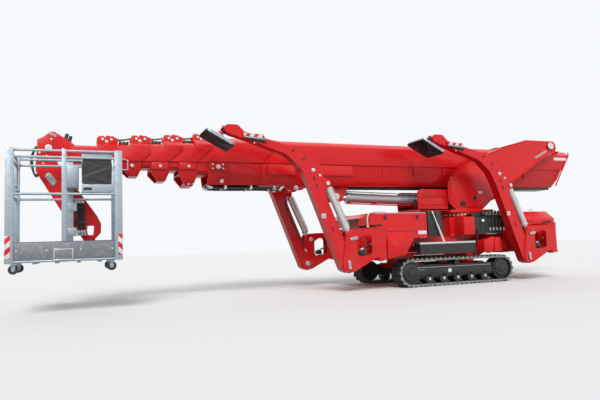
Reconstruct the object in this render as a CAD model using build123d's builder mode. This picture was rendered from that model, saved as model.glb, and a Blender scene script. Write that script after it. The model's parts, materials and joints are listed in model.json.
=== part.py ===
"""Tracked spider lift with a telescopic boom, a folding jib, a basket and four folding legs.

Lengths are in millimetres. +X points forward to the basket, +Y to the left side and +Z up.
The origin lies on the ground below the centre of the whole machine.
"""
import os
from math import atan2, cos, degrees, hypot, pi, radians, sin

from build123d import *

# Whole machine
FRONT_X = 4340.0
REAR_X = -4340.0
HALF_WIDTH = 950.0
FIT = 0.3
SLIDE_GAP = 0.5

# Tracks
TRACK_REAR_X = -2540.0
TRACK_FRONT_X = -530.0
TRACK_HEIGHT = 407.0
TRACK_OUTER_Y = 720.0
TRACK_WIDTH = 250.0
BELT_THICK = 26.0
SHOE_HEIGHT = 17.0
SHOE_COUNT = 56
SHOE_SHARE = 0.6
TRACK_ROLLER_R = 62.0
TRACK_WHEEL_R = 150.0
TRACK_RUN_GAP = 1.0
SIDE_FRAME_WIDTH = 130.0
SIDE_FRAME_TOP = 300.0
SIDE_FRAME_BOTTOM = 130.0
AXLE_R = 22.0

# Chassis
GIRDER_HALF_WIDTH = 300.0
GIRDER_REAR_X = -3400.0
GIRDER_FRONT_X = -80.0
GIRDER_BOTTOM = 440.0
GIRDER_TOP = 700.0
CROSS_TUBE_XS = (-2080.0, -990.0)
CROSS_TUBE_SIZE = 120.0
CROSS_TUBE_Z = 340.0
TOWER_HALF_LENGTH = 400.0
TOWER_HALF_WIDTH = 330.0

# Bonnet, boxes and steps
BONNET_REAR_X = -1100.0
BONNET_FRONT_X = -170.0
BONNET_BOTTOM = 717.0
BONNET_TOP = 1070.0
BONNET_HALF_WIDTH = 600.0
BONNET_WALL = 5.0
ENGINE_LENGTH = 560.0
ENGINE_WIDTH = 420.0
ENGINE_HEIGHT = 300.0
POWER_BOX_REAR_X = -2500.0
POWER_BOX_FRONT_X = -1800.0
POWER_BOX_BOTTOM = 730.0
POWER_BOX_TOP = 985.0
POWER_BOX_DEPTH = 230.0
REAR_BOX_REAR_X = -3640.0
REAR_BOX_FRONT_X = -2620.0
REAR_BOX_BOTTOM = GIRDER_TOP
REAR_BOX_TOP = 1075.0
REAR_BOX_HALF_WIDTH = 450.0
STEP_REAR_X = -1840.0
STEP_FRONT_X = -880.0
STEP_BOTTOM = 465.0
STEP_TOP = 622.0
STEP_OUTER_Y = 735.0
STEP_DEPTH = 200.0

# Slew ring and turret
SLEW_X = -2110.0
SLEW_Z = 1000.0
SLEW_HEIGHT = 75.0
SLEW_R = 370.0
SLEW_TEETH = 72
TURRET_PLATE_INNER_Y = 330.0
TURRET_PLATE_THICK = 30.0
TURRET_BASE_THICK = 40.0
BOOM_PIVOT_X = -3820.0
BOOM_PIVOT_Z = 2180.0
BOOM_PIN_R = 45.0

# Boom sections
BOOM_REAR_X = REAR_X
BOOM_FRONT_X = 2050.0
BOOM_AXIS_Z = 1805.0
BOOM_HALF_WIDTH = 265.0
BOOM_HALF_HEIGHT = 315.0
BOOM_WALL = 10.0
SECTION_STEP_WIDTH = 28.0
SECTION_STEP_HEIGHT = 35.0
SECTION_REAR_STEP = 90.0
SECTION_FRONT_STEP = 352.0
COLLAR_LENGTH = 215.0
COLLAR_PROUD = 16.0
SECTION_COUNT = 5
BOOM_TIP_X = 3715.0

# Lift cylinder
LIFT_TURRET_X = -2400.0
LIFT_TURRET_Z = 1245.0
LIFT_BOOM_X = 100.0
LIFT_BOOM_Z = 1345.0
LIFT_BARREL_R = 72.0
LIFT_ROD_R = 50.0
LIFT_PIN_R = 40.0
LIFT_EYE_R = 75.0
LIFT_EYE_WIDTH = 110.0
LIFT_ROD_SHOWN = 120.0

# Jib and basket carrier
JIB_TOP_X = 3960.0
JIB_TOP_Z = 1940.0
JIB_LOW_X = 3460.0
JIB_LOW_Z = 650.0
JIB_HALF_WIDTH = 55.0
JIB_HALF_DEPTH = 62.0
JIB_PIN_R = 28.0
JIB_CHEEK_THICK = 16.0
TURN_AXIS_X = 3745.0
TURN_AXIS_Y = 95.0
TURN_DRUM_R = 68.0
TURN_DRUM_LOW = 560.0
TURN_DRUM_HIGH = 800.0

# Basket
BASKET_REAR_X = 3200.0
BASKET_OUTER_Y = HALF_WIDTH
BASKET_INNER_Y = 225.0
BASKET_FLOOR_Z = 620.0
BASKET_TOP_Z = 1740.0
BASKET_POST_HALF = 20.0
BASKET_RAIL_R = 16.0
BASKET_MID_RAIL_Z = 1300.0
TOE_BOARD_HEIGHT = 165.0
TOE_BOARD_THICK = 6.0
FLOOR_THICK = 30.0
CASTOR_R = 50.0
CASTOR_WIDTH = 32.0

# Legs
LEG_PLANE_Y = 725.0
LEG_THICK = 140.0
LEG_PIVOT_Z = 360.0
FRONT_PIVOT_X = 285.0
REAR_PIVOT_X = -2795.0
LEG_PIN_R = 32.0
CONSOLE_REACH = 520.0
CONSOLE_CHEEK = 15.0
SWIVEL_R = 82.0
SWIVEL_PIN_R = 38.0
SWIVEL_LOW = 440.0
SWIVEL_HIGH = 835.0
CLEVIS_THICK = 34.0
LEG_CYLINDER_LOW = (-62.0, 373.0)
LEG_CYLINDER_HIGH = (262.0, 1095.0)
LEG_BARREL_R = 46.0
LEG_ROD_R = 28.0
LEG_EYE_R = 40.0
LEG_EYE_WIDTH = 60.0
LEG_CYLINDER_PIN_R = 20.0
FOOT_BALL = (1697.0, 1702.0)
FOOT_TILT = 28.5
FOOT_STALK_ANGLE = 135.0
FOOT_LENGTH = 400.0
FOOT_WIDTH = 450.0
FOOT_THICK = 34.0
FOOT_BALL_R = 45.0
FOOT_BALL_HEIGHT = 62.0


def side_plane(y):
    """Plane along the machine at a distance y from its middle: sketch x is forward, sketch y is up."""
    return Plane(origin=(0, y, 0), x_dir=(1, 0, 0), z_dir=(0, -1, 0))


def cross_plane(x):
    """Plane across the machine: sketch x is to the left, sketch y is up, and its normal is forward."""
    return Plane(origin=(x, 0, 0), x_dir=(0, 1, 0), z_dir=(1, 0, 0))


def side_plate(points, y_low, y_high, radius=0.0, mode=Mode.ADD):
    """Plate with an outline seen from the side, between two distances from the middle."""
    with BuildSketch(side_plane(y_high)) as outline:
        with BuildLine():
            if radius:
                FilletPolyline(*points, radius=radius, close=True)
            else:
                Polyline(*points, close=True)
        make_face()
    extrude(outline.sketch, amount=y_high - y_low, mode=mode)


def block(x_range, y_range, z_range, mode=Mode.ADD):
    """Box between three pairs of limits."""
    with BuildSketch(Plane.XY.offset(z_range[0])) as footprint:
        with Locations(((x_range[0] + x_range[1]) / 2, (y_range[0] + y_range[1]) / 2)):
            Rectangle(x_range[1] - x_range[0], y_range[1] - y_range[0])
    extrude(footprint.sketch, amount=z_range[1] - z_range[0], mode=mode)


def bar(start, end, radius, mode=Mode.ADD):
    """Round bar from one point to another."""
    line = Vector(*end) - Vector(*start)
    with BuildSketch(Plane(origin=start, z_dir=line)) as ring:
        Circle(radius)
    extrude(ring.sketch, amount=line.length, mode=mode)


def cross_pin(x, z, y_low, y_high, radius, mode=Mode.ADD):
    """Round pin or bore across the machine."""
    bar((x, y_low, z), (x, y_high, z), radius, mode)


def upright_pin(x, y, z_low, z_high, radius, mode=Mode.ADD):
    """Round pin or bore that stands upright."""
    bar((x, y, z_low), (x, y, z_high), radius, mode)


def section_outline(half_width, half_height, axis_z, x):
    """Cross-section of a boom profile with slanted upper sides and a tapered underside."""
    top = axis_z + half_height
    bottom = axis_z - half_height
    shoulder = top - 0.23 * half_height
    hip = bottom + 0.37 * half_height
    corners = [
        (0.62 * half_width, top),
        (half_width, shoulder),
        (half_width, hip),
        (0.66 * half_width, bottom),
    ]
    with BuildSketch(cross_plane(x)) as outline:
        with BuildLine():
            Polyline(*corners, *[(-y, z) for y, z in reversed(corners)], close=True)
        make_face()
    return outline.sketch


def finish(part, name):
    """Names a finished piece and writes it."""
    part.label = name
    export_step(part, f"parts/{name}.step")


os.makedirs("parts", exist_ok=True)

# Rubber tracks: a closed belt round each side frame, with cross bars on its outside
track_end_r = TRACK_HEIGHT / 2
belt_outer_r = track_end_r - SHOE_HEIGHT
belt_inner_r = belt_outer_r - BELT_THICK
track_rear_wheel_x = TRACK_REAR_X + track_end_r
track_front_wheel_x = TRACK_FRONT_X - track_end_r
track_middle_x = (track_rear_wheel_x + track_front_wheel_x) / 2
track_wheel_base = track_front_wheel_x - track_rear_wheel_x


def on_loop(distance, radius, end_r):
    """Point on a track loop: distance runs along a loop of end radius end_r, radius is its real height."""
    arc = pi * end_r
    lap = 2 * track_wheel_base + 2 * arc
    distance = distance % lap
    if distance < track_wheel_base:
        return (track_rear_wheel_x + distance, track_end_r - radius)
    if distance < track_wheel_base + arc:
        turn = (distance - track_wheel_base) / end_r - pi / 2
        return (track_front_wheel_x + radius * cos(turn), track_end_r + radius * sin(turn))
    if distance < 2 * track_wheel_base + arc:
        return (track_front_wheel_x - (distance - track_wheel_base - arc), track_end_r + radius)
    turn = (distance - 2 * track_wheel_base - arc) / end_r + pi / 2
    return (track_rear_wheel_x + radius * cos(turn), track_end_r + radius * sin(turn))


track_lap = 2 * track_wheel_base + 2 * pi * belt_outer_r
shoe_pitch = track_lap / SHOE_COUNT
shoe_points = []
for shoe in range(SHOE_COUNT):
    start = shoe * shoe_pitch
    for share, radius in (
        (0.0, belt_outer_r),
        (0.10, track_end_r),
        (SHOE_SHARE - 0.10, track_end_r),
        (SHOE_SHARE, belt_outer_r),
    ):
        shoe_points.append(on_loop(start + share * shoe_pitch, radius, belt_outer_r))

with BuildPart() as tracks:
    for side in (1, -1):
        track_y_low = min(side * TRACK_OUTER_Y, side * (TRACK_OUTER_Y - TRACK_WIDTH))
        with BuildSketch(side_plane(track_y_low + TRACK_WIDTH)) as loop:
            with BuildLine():
                Polyline(*shoe_points, close=True)
            make_face()
            with Locations((track_middle_x, track_end_r)):
                SlotCenterToCenter(track_wheel_base, 2 * belt_inner_r, mode=Mode.SUBTRACT)
        extrude(loop.sketch, amount=TRACK_WIDTH)
finish(tracks.part, "tracks")

# Track side frames with their end wheels and rollers
track_mid_y = TRACK_OUTER_Y - TRACK_WIDTH / 2
roller_z = track_end_r - belt_inner_r + TRACK_RUN_GAP + TRACK_ROLLER_R
roller_xs = [track_middle_x + (index - 2) * 245.0 for index in range(5)]
with BuildPart() as track_frames:
    for side in (1, -1):
        inner_y = side * track_mid_y - SIDE_FRAME_WIDTH / 2
        outer_y = side * track_mid_y + SIDE_FRAME_WIDTH / 2
        rear = track_rear_wheel_x
        front = track_front_wheel_x
        side_plate(
            [
                (rear - 60, SIDE_FRAME_BOTTOM),
                (front + 60, SIDE_FRAME_BOTTOM),
                (front + 60, SIDE_FRAME_TOP - 50),
                (front - 160, SIDE_FRAME_TOP),
                (rear + 160, SIDE_FRAME_TOP),
                (rear - 60, SIDE_FRAME_TOP - 50),
            ],
            inner_y,
            outer_y,
        )
        wheel_r = belt_inner_r - TRACK_RUN_GAP
        for x in (rear, front):
            cross_pin(x, track_end_r, inner_y - 25, outer_y + 25, wheel_r)
        for x in roller_xs:
            cross_pin(x, roller_z, inner_y - 20, outer_y + 20, TRACK_ROLLER_R)
        cross_pin(track_middle_x, TRACK_HEIGHT - roller_z + 20, inner_y - 20, outer_y + 20, TRACK_ROLLER_R - 20)
finish(track_frames.part, "track_frames")

# Chassis: a long girder, cross tubes to the side frames, the slew tower and four forked corners
front_swivel_x = FRONT_PIVOT_X - CONSOLE_REACH
rear_swivel_x = REAR_PIVOT_X - CONSOLE_REACH
clevis_r = SWIVEL_R + 14
side_frame_inner_y = track_mid_y - SIDE_FRAME_WIDTH / 2
with BuildPart() as chassis_frame:
    block((GIRDER_REAR_X, GIRDER_FRONT_X), (-GIRDER_HALF_WIDTH, GIRDER_HALF_WIDTH), (GIRDER_BOTTOM, GIRDER_TOP))
    for x in CROSS_TUBE_XS:
        half = CROSS_TUBE_SIZE / 2
        block((x - half, x + half), (-GIRDER_HALF_WIDTH, GIRDER_HALF_WIDTH), (GIRDER_BOTTOM - 190, GIRDER_BOTTOM))
        block(
            (x - half, x + half),
            (-side_frame_inner_y, side_frame_inner_y),
            (GIRDER_BOTTOM - 190, GIRDER_BOTTOM - 190 + 70),
        )
    block(
        (SLEW_X - TOWER_HALF_LENGTH, SLEW_X + TOWER_HALF_LENGTH),
        (-TOWER_HALF_WIDTH, TOWER_HALF_WIDTH),
        (GIRDER_TOP, SLEW_Z),
    )
    block(
        (BONNET_REAR_X, BONNET_FRONT_X + 20),
        (-BONNET_HALF_WIDTH, BONNET_HALF_WIDTH),
        (GIRDER_TOP, BONNET_BOTTOM),
    )
    for swivel_x in (front_swivel_x, rear_swivel_x):
        beam_end = LEG_PLANE_Y - clevis_r - 10
        block((swivel_x - clevis_r, swivel_x + clevis_r), (-beam_end, beam_end), (SWIVEL_LOW - 20, GIRDER_TOP))
        for side in (1, -1):
            y_low = min(side * GIRDER_HALF_WIDTH, side * LEG_PLANE_Y)
            y_high = max(side * GIRDER_HALF_WIDTH, side * LEG_PLANE_Y)
            wall_low = min(side * GIRDER_HALF_WIDTH, side * beam_end)
            wall_high = max(side * GIRDER_HALF_WIDTH, side * beam_end)
            block(
                (swivel_x - clevis_r, swivel_x + clevis_r),
                (wall_low, wall_high),
                (GIRDER_TOP, SWIVEL_HIGH + CLEVIS_THICK),
            )
            for z in (SWIVEL_LOW - CLEVIS_THICK, SWIVEL_HIGH):
                block((swivel_x - clevis_r, swivel_x + clevis_r), (y_low, y_high), (z, z + CLEVIS_THICK))
                upright_pin(swivel_x, side * LEG_PLANE_Y, z, z + CLEVIS_THICK, clevis_r)
            upright_pin(
                swivel_x,
                side * LEG_PLANE_Y,
                SWIVEL_LOW - CLEVIS_THICK - 12,
                SWIVEL_HIGH + CLEVIS_THICK + 12,
                SWIVEL_PIN_R,
            )
finish(chassis_frame.part, "chassis_frame")

# Engine: one plain mass inside the bonnet
with BuildPart() as engine_block:
    middle = (BONNET_REAR_X + BONNET_FRONT_X) / 2
    block(
        (middle - ENGINE_LENGTH / 2, middle + ENGINE_LENGTH / 2),
        (-ENGINE_WIDTH / 2, ENGINE_WIDTH / 2),
        (BONNET_BOTTOM, BONNET_BOTTOM + ENGINE_HEIGHT),
    )
finish(engine_block.part, "engine_block")

# Bonnet: a shell over the engine, open below
bonnet_side = [
    (BONNET_REAR_X, BONNET_BOTTOM),
    (BONNET_FRONT_X + 20, BONNET_BOTTOM),
    (BONNET_FRONT_X, BONNET_TOP - 60),
    (BONNET_FRONT_X - 60, BONNET_TOP),
    (BONNET_REAR_X, BONNET_TOP),
]
with BuildPart() as front_bonnet:
    side_plate(bonnet_side, -BONNET_HALF_WIDTH, BONNET_HALF_WIDTH)
    fillet(front_bonnet.edges().filter_by(Axis.X).group_by(Axis.Z)[-1], 40)
    opening_face = front_bonnet.faces().filter_by(Axis.Z).sort_by(Axis.Z)[0]
    offset(amount=-BONNET_WALL, openings=opening_face)
    block(
        (front_swivel_x - clevis_r - 10, BONNET_FRONT_X + 20),
        (-HALF_WIDTH, -GIRDER_HALF_WIDTH + 40),
        (BONNET_BOTTOM - 10, SWIVEL_HIGH + CLEVIS_THICK + 25),
        Mode.SUBTRACT,
    )
    block(
        (front_swivel_x - clevis_r - 10, BONNET_FRONT_X + 20),
        (GIRDER_HALF_WIDTH - 40, HALF_WIDTH),
        (BONNET_BOTTOM - 10, SWIVEL_HIGH + CLEVIS_THICK + 25),
        Mode.SUBTRACT,
    )
finish(front_bonnet.part, "front_bonnet")

# Boxes on both sides below the turret
with BuildPart() as power_boxes:
    for side in (1, -1):
        low = min(side * TOWER_HALF_WIDTH, side * (TOWER_HALF_WIDTH + POWER_BOX_DEPTH))
        block(
            (POWER_BOX_REAR_X, POWER_BOX_FRONT_X),
            (low, low + POWER_BOX_DEPTH),
            (POWER_BOX_BOTTOM, POWER_BOX_TOP),
        )
finish(power_boxes.part, "power_boxes")

# Rear box behind the turret
with BuildPart() as rear_box:
    side_plate(
        [
            (REAR_BOX_FRONT_X, REAR_BOX_BOTTOM),
            (REAR_BOX_FRONT_X, REAR_BOX_TOP),
            (REAR_BOX_REAR_X + 40, REAR_BOX_TOP),
            (REAR_BOX_REAR_X, REAR_BOX_TOP - 60),
            (REAR_BOX_REAR_X, REAR_BOX_BOTTOM - 250),
            (rear_swivel_x - clevis_r, REAR_BOX_BOTTOM - 250),
            (rear_swivel_x - clevis_r, REAR_BOX_BOTTOM),
        ],
        -REAR_BOX_HALF_WIDTH,
        REAR_BOX_HALF_WIDTH,
    )
    for side in (1, -1):
        low = min(side * (GIRDER_HALF_WIDTH - 10), side * HALF_WIDTH)
        high = max(side * (GIRDER_HALF_WIDTH - 10), side * HALF_WIDTH)
        block(
            (rear_swivel_x - clevis_r - 10, rear_swivel_x + clevis_r + 10),
            (low, high),
            (REAR_BOX_BOTTOM - 10, SWIVEL_HIGH + CLEVIS_THICK + 25),
            Mode.SUBTRACT,
        )
finish(rear_box.part, "rear_box")

# Step boxes over the tracks
with BuildPart() as step_boxes:
    for side in (1, -1):
        low = min(side * STEP_OUTER_Y, side * (STEP_OUTER_Y - STEP_DEPTH))
        block((STEP_REAR_X, STEP_FRONT_X), (low, low + STEP_DEPTH), (STEP_BOTTOM, STEP_TOP))
        for x in (STEP_REAR_X + 200, STEP_FRONT_X - 200):
            inner = side * GIRDER_HALF_WIDTH
            outer = side * (STEP_OUTER_Y - STEP_DEPTH)
            block((x - 30, x + 30), (min(inner, outer), max(inner, outer)), (STEP_BOTTOM + 20, STEP_TOP - 60))
finish(step_boxes.part, "step_boxes")

# Slew ring with its outer teeth
slew_root_r = SLEW_R - 8
with BuildPart() as slew_ring:
    with BuildSketch(Plane.XY.offset(SLEW_Z)):
        with Locations((SLEW_X, 0)):
            Circle(slew_root_r)
        with Locations((SLEW_X, 0)):
            with PolarLocations(slew_root_r, SLEW_TEETH):
                Trapezoid(18, 14, 72, rotation=-90)
    extrude(amount=SLEW_HEIGHT)
finish(slew_ring.part, "slew_ring")

# Turret: a base box on the ring and two side plates up to the boom pivot
turret_base_z = SLEW_Z + SLEW_HEIGHT
turret_outer_y = TURRET_PLATE_INNER_Y + TURRET_PLATE_THICK
with BuildPart() as turret_base:
    block(
        (SLEW_X - 420, SLEW_X + 400),
        (-turret_outer_y - 10, turret_outer_y + 10),
        (turret_base_z, turret_base_z + TURRET_BASE_THICK),
    )
    for y in (-LIFT_EYE_WIDTH / 2 - FIT - 30, LIFT_EYE_WIDTH / 2 + FIT):
        side_plate(
            [
                (LIFT_TURRET_X - 90, turret_base_z + TURRET_BASE_THICK),
                (LIFT_TURRET_X + 130, turret_base_z + TURRET_BASE_THICK),
                (LIFT_TURRET_X + 80, LIFT_TURRET_Z + 70),
                (LIFT_TURRET_X - 80, LIFT_TURRET_Z + 70),
            ],
            y,
            y + 30,
        )
    cross_pin(LIFT_TURRET_X, LIFT_TURRET_Z, -TURRET_PLATE_INNER_Y, TURRET_PLATE_INNER_Y, LIFT_PIN_R)
finish(turret_base.part, "turret_base")

turret_foot_z = turret_base_z + TURRET_BASE_THICK
turret_outline = [
    (-1700, 1550),
    (-1715, 1220),
    (-1830, turret_foot_z),
    (-2330, turret_foot_z),
    (-2500, 1250),
    (-2920, 1537),
    (-3600, 1960),
    (-3850, 2040),
    (BOOM_PIVOT_X - 150, BOOM_PIVOT_Z - 60),
    (BOOM_PIVOT_X - 110, BOOM_PIVOT_Z + 85),
    (-3300, 2265),
    (-2780, 2125),
    (-1900, 1760),
]
with BuildPart() as turret_plates:
    for y in (-turret_outer_y, TURRET_PLATE_INNER_Y):
        side_plate(turret_outline, y, y + TURRET_PLATE_THICK, radius=60)
    cross_pin(BOOM_PIVOT_X, BOOM_PIVOT_Z, -turret_outer_y - 20, turret_outer_y + 20, BOOM_PIN_R)
finish(turret_plates.part, "turret_plates")

# Boom: nested profiles, each with a collar at its front and slide pads on both ends
def front_pads(index, front_x):
    """Slide pads inside the front end of a boom profile, up to the next profile inside it."""
    wall_half_width = BOOM_HALF_WIDTH - index * SECTION_STEP_WIDTH - BOOM_WALL
    wall_half_height = BOOM_HALF_HEIGHT - index * SECTION_STEP_HEIGHT - BOOM_WALL
    next_half_width = BOOM_HALF_WIDTH - (index + 1) * SECTION_STEP_WIDTH + SLIDE_GAP
    next_half_height = BOOM_HALF_HEIGHT - (index + 1) * SECTION_STEP_HEIGHT + SLIDE_GAP
    pad_x = (front_x - 140, front_x - 25)
    for side in (-1, 1):
        y_limits = sorted((side * next_half_width, side * (wall_half_width + 1)))
        block(pad_x, y_limits, (BOOM_AXIS_Z - 50, BOOM_AXIS_Z + 50))
        z_limits = sorted(BOOM_AXIS_Z + side * height for height in (next_half_height, wall_half_height + 1))
        block(pad_x, (-next_half_width * 0.4, next_half_width * 0.4), z_limits)


with BuildPart() as boom_main:
    extrude(section_outline(BOOM_HALF_WIDTH, BOOM_HALF_HEIGHT, BOOM_AXIS_Z, BOOM_REAR_X), amount=BOOM_FRONT_X - BOOM_REAR_X)
    extrude(
        section_outline(BOOM_HALF_WIDTH + COLLAR_PROUD, BOOM_HALF_HEIGHT + COLLAR_PROUD, BOOM_AXIS_Z, BOOM_FRONT_X - 650),
        amount=650,
    )
    extrude(
        section_outline(BOOM_HALF_WIDTH - BOOM_WALL, BOOM_HALF_HEIGHT - BOOM_WALL, BOOM_AXIS_Z, BOOM_REAR_X + 30),
        amount=BOOM_FRONT_X - BOOM_REAR_X,
        mode=Mode.SUBTRACT,
    )
    front_pads(0, BOOM_FRONT_X)
    with BuildSketch(side_plane(BOOM_HALF_WIDTH + 50)) as tail_cut:
        with BuildLine():
            Polyline(
                (REAR_X - 10, BOOM_AXIS_Z + BOOM_HALF_HEIGHT - 60),
                (REAR_X + 380, BOOM_AXIS_Z - BOOM_HALF_HEIGHT - 10),
                (REAR_X - 10, BOOM_AXIS_Z - BOOM_HALF_HEIGHT - 10),
                close=True,
            )
        make_face()
    extrude(tail_cut.sketch, amount=2 * BOOM_HALF_WIDTH + 100, mode=Mode.SUBTRACT)
    for y in (-BOOM_HALF_WIDTH, BOOM_HALF_WIDTH - 60):
        side_plate(
            [
                (BOOM_PIVOT_X - 230, BOOM_AXIS_Z + BOOM_HALF_HEIGHT - 55),
                (BOOM_PIVOT_X + 330, BOOM_AXIS_Z + BOOM_HALF_HEIGHT - 55),
                (BOOM_PIVOT_X + 80, BOOM_PIVOT_Z + 80),
                (BOOM_PIVOT_X - 80, BOOM_PIVOT_Z + 80),
            ],
            y,
            y + 60,
            radius=20,
        )
    cross_pin(BOOM_PIVOT_X, BOOM_PIVOT_Z, -TURRET_PLATE_INNER_Y + FIT, TURRET_PLATE_INNER_Y - FIT, 60)
    cross_pin(BOOM_PIVOT_X, BOOM_PIVOT_Z, -BOOM_HALF_WIDTH - 100, BOOM_HALF_WIDTH + 100, BOOM_PIN_R + FIT, Mode.SUBTRACT)
    for side in (-1, 1):
        low = min(side * (LIFT_EYE_WIDTH / 2 + FIT), side * (LIFT_EYE_WIDTH / 2 + FIT + 25))
        side_plate(
            [
                (LIFT_BOOM_X - 220, BOOM_AXIS_Z - BOOM_HALF_HEIGHT),
                (LIFT_BOOM_X + 190, BOOM_AXIS_Z - BOOM_HALF_HEIGHT),
                (LIFT_BOOM_X + 85, LIFT_BOOM_Z - 80),
                (LIFT_BOOM_X - 85, LIFT_BOOM_Z - 80),
            ],
            low,
            low + 25,
            radius=30,
        )
        outer = side * (LIFT_EYE_WIDTH / 2 + FIT + 25)
        cross_pin(LIFT_BOOM_X, LIFT_BOOM_Z, min(outer, outer + side * 20), max(outer, outer + side * 20), 55)
finish(boom_main.part, "boom_main")

boom_sections = []
for index in range(1, SECTION_COUNT + 1):
    half_width = BOOM_HALF_WIDTH - index * SECTION_STEP_WIDTH
    half_height = BOOM_HALF_HEIGHT - index * SECTION_STEP_HEIGHT
    rear_x = BOOM_REAR_X + 380 + index * SECTION_REAR_STEP
    last = index == SECTION_COUNT
    front_x = BOOM_TIP_X if last else BOOM_FRONT_X + index * SECTION_FRONT_STEP
    around_half_width = half_width + SECTION_STEP_WIDTH - BOOM_WALL
    around_half_height = half_height + SECTION_STEP_HEIGHT - BOOM_WALL
    with BuildPart() as section:
        extrude(section_outline(half_width, half_height, BOOM_AXIS_Z, rear_x), amount=front_x - rear_x)
        if not last:
            collar_x = front_x - COLLAR_LENGTH
            extrude(
                section_outline(half_width + COLLAR_PROUD, half_height + COLLAR_PROUD, BOOM_AXIS_Z, collar_x),
                amount=COLLAR_LENGTH,
            )
        for side in (-1, 1):
            pad_low = min(side * (half_width - 1), side * (around_half_width - SLIDE_GAP))
            pad_high = max(side * (half_width - 1), side * (around_half_width - SLIDE_GAP))
            block((rear_x, rear_x + 160), (pad_low, pad_high), (BOOM_AXIS_Z - 60, BOOM_AXIS_Z + 60))
        for side in (-1, 1):
            z_low = min(BOOM_AXIS_Z + side * (half_height - 1), BOOM_AXIS_Z + side * (around_half_height - SLIDE_GAP))
            z_high = max(BOOM_AXIS_Z + side * (half_height - 1), BOOM_AXIS_Z + side * (around_half_height - SLIDE_GAP))
            block((rear_x, rear_x + 160), (-half_width * 0.5, half_width * 0.5), (z_low, z_high))
        extrude(
            section_outline(half_width - BOOM_WALL, half_height - BOOM_WALL, BOOM_AXIS_Z, rear_x - 10),
            amount=front_x - rear_x + (-10 if last else 20),
            mode=Mode.SUBTRACT,
        )
        if not last:
            front_pads(index, front_x)
    boom_sections.append(section)

# The last profile ends in a fork that carries the jib
cheek_inner = JIB_HALF_WIDTH + FIT
head_outline = [
    (BOOM_TIP_X - 60, 1675),
    (BOOM_TIP_X - 60, 1990),
    (BOOM_TIP_X + 40, 2110),
    (JIB_TOP_X - 110, 2150),
    (JIB_TOP_X + 60, 2130),
    (JIB_TOP_X + 130, 1990),
    (JIB_TOP_X + 120, 1850),
    (JIB_TOP_X - 60, 1790),
]
with BuildPart() as last_section:
    add(boom_sections[-1].part)
    for low in (-cheek_inner - JIB_CHEEK_THICK, cheek_inner):
        side_plate(head_outline, low, low + JIB_CHEEK_THICK, radius=30)
    cross_pin(JIB_TOP_X, JIB_TOP_Z, -cheek_inner - JIB_CHEEK_THICK - 12, cheek_inner + JIB_CHEEK_THICK + 12, JIB_PIN_R)
boom_sections[-1] = last_section
for index, section in enumerate(boom_sections, start=1):
    finish(section.part, f"boom_section_{index}")

# Lift cylinder under the boom: the barrel turns on the turret, the rod reaches the boom bracket
lift_length = hypot(LIFT_BOOM_X - LIFT_TURRET_X, LIFT_BOOM_Z - LIFT_TURRET_Z)
lift_dir = ((LIFT_BOOM_X - LIFT_TURRET_X) / lift_length, (LIFT_BOOM_Z - LIFT_TURRET_Z) / lift_length)


def along(start, direction, distance, y=0.0):
    """Point at a distance along a line in the side view."""
    return (start[0] + distance * direction[0], y, start[1] + distance * direction[1])


lift_start = (LIFT_TURRET_X, LIFT_TURRET_Z)
barrel_end = lift_length - LIFT_ROD_SHOWN - LIFT_EYE_R
with BuildPart() as lift_barrel:
    cross_pin(LIFT_TURRET_X, LIFT_TURRET_Z, -LIFT_EYE_WIDTH / 2, LIFT_EYE_WIDTH / 2, LIFT_EYE_R)
    bar(along(lift_start, lift_dir, 40), along(lift_start, lift_dir, 210), LIFT_EYE_WIDTH / 2)
    bar(along(lift_start, lift_dir, 200), along(lift_start, lift_dir, barrel_end), LIFT_BARREL_R)
    bar(along(lift_start, lift_dir, 240), along(lift_start, lift_dir, barrel_end + 5), LIFT_ROD_R + SLIDE_GAP, Mode.SUBTRACT)
    cross_pin(LIFT_TURRET_X, LIFT_TURRET_Z, -LIFT_EYE_WIDTH, LIFT_EYE_WIDTH, LIFT_PIN_R + FIT, Mode.SUBTRACT)
finish(lift_barrel.part, "lift_barrel")

with BuildPart() as lift_rod:
    cross_pin(LIFT_BOOM_X, LIFT_BOOM_Z, -LIFT_EYE_WIDTH / 2, LIFT_EYE_WIDTH / 2, LIFT_EYE_R)
    bar(along(lift_start, lift_dir, 250), along(lift_start, lift_dir, lift_length - 50), LIFT_ROD_R)
    cross_pin(LIFT_BOOM_X, LIFT_BOOM_Z, -LIFT_EYE_WIDTH, LIFT_EYE_WIDTH, LIFT_PIN_R, Mode.SUBTRACT)
finish(lift_rod.part, "lift_rod")

# Jib arm, folded back below the boom tip
jib_length = hypot(JIB_TOP_X - JIB_LOW_X, JIB_TOP_Z - JIB_LOW_Z)
jib_dir = ((JIB_LOW_X - JIB_TOP_X) / jib_length, (JIB_LOW_Z - JIB_TOP_Z) / jib_length)
jib_side = (-jib_dir[1], jib_dir[0])
jib_start = (JIB_TOP_X, JIB_TOP_Z)


def jib_point(distance, offset):
    """Point beside the jib's centre line, in the side view."""
    x = JIB_TOP_X + distance * jib_dir[0] + offset * jib_side[0]
    z = JIB_TOP_Z + distance * jib_dir[1] + offset * jib_side[1]
    return (x, z)


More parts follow.
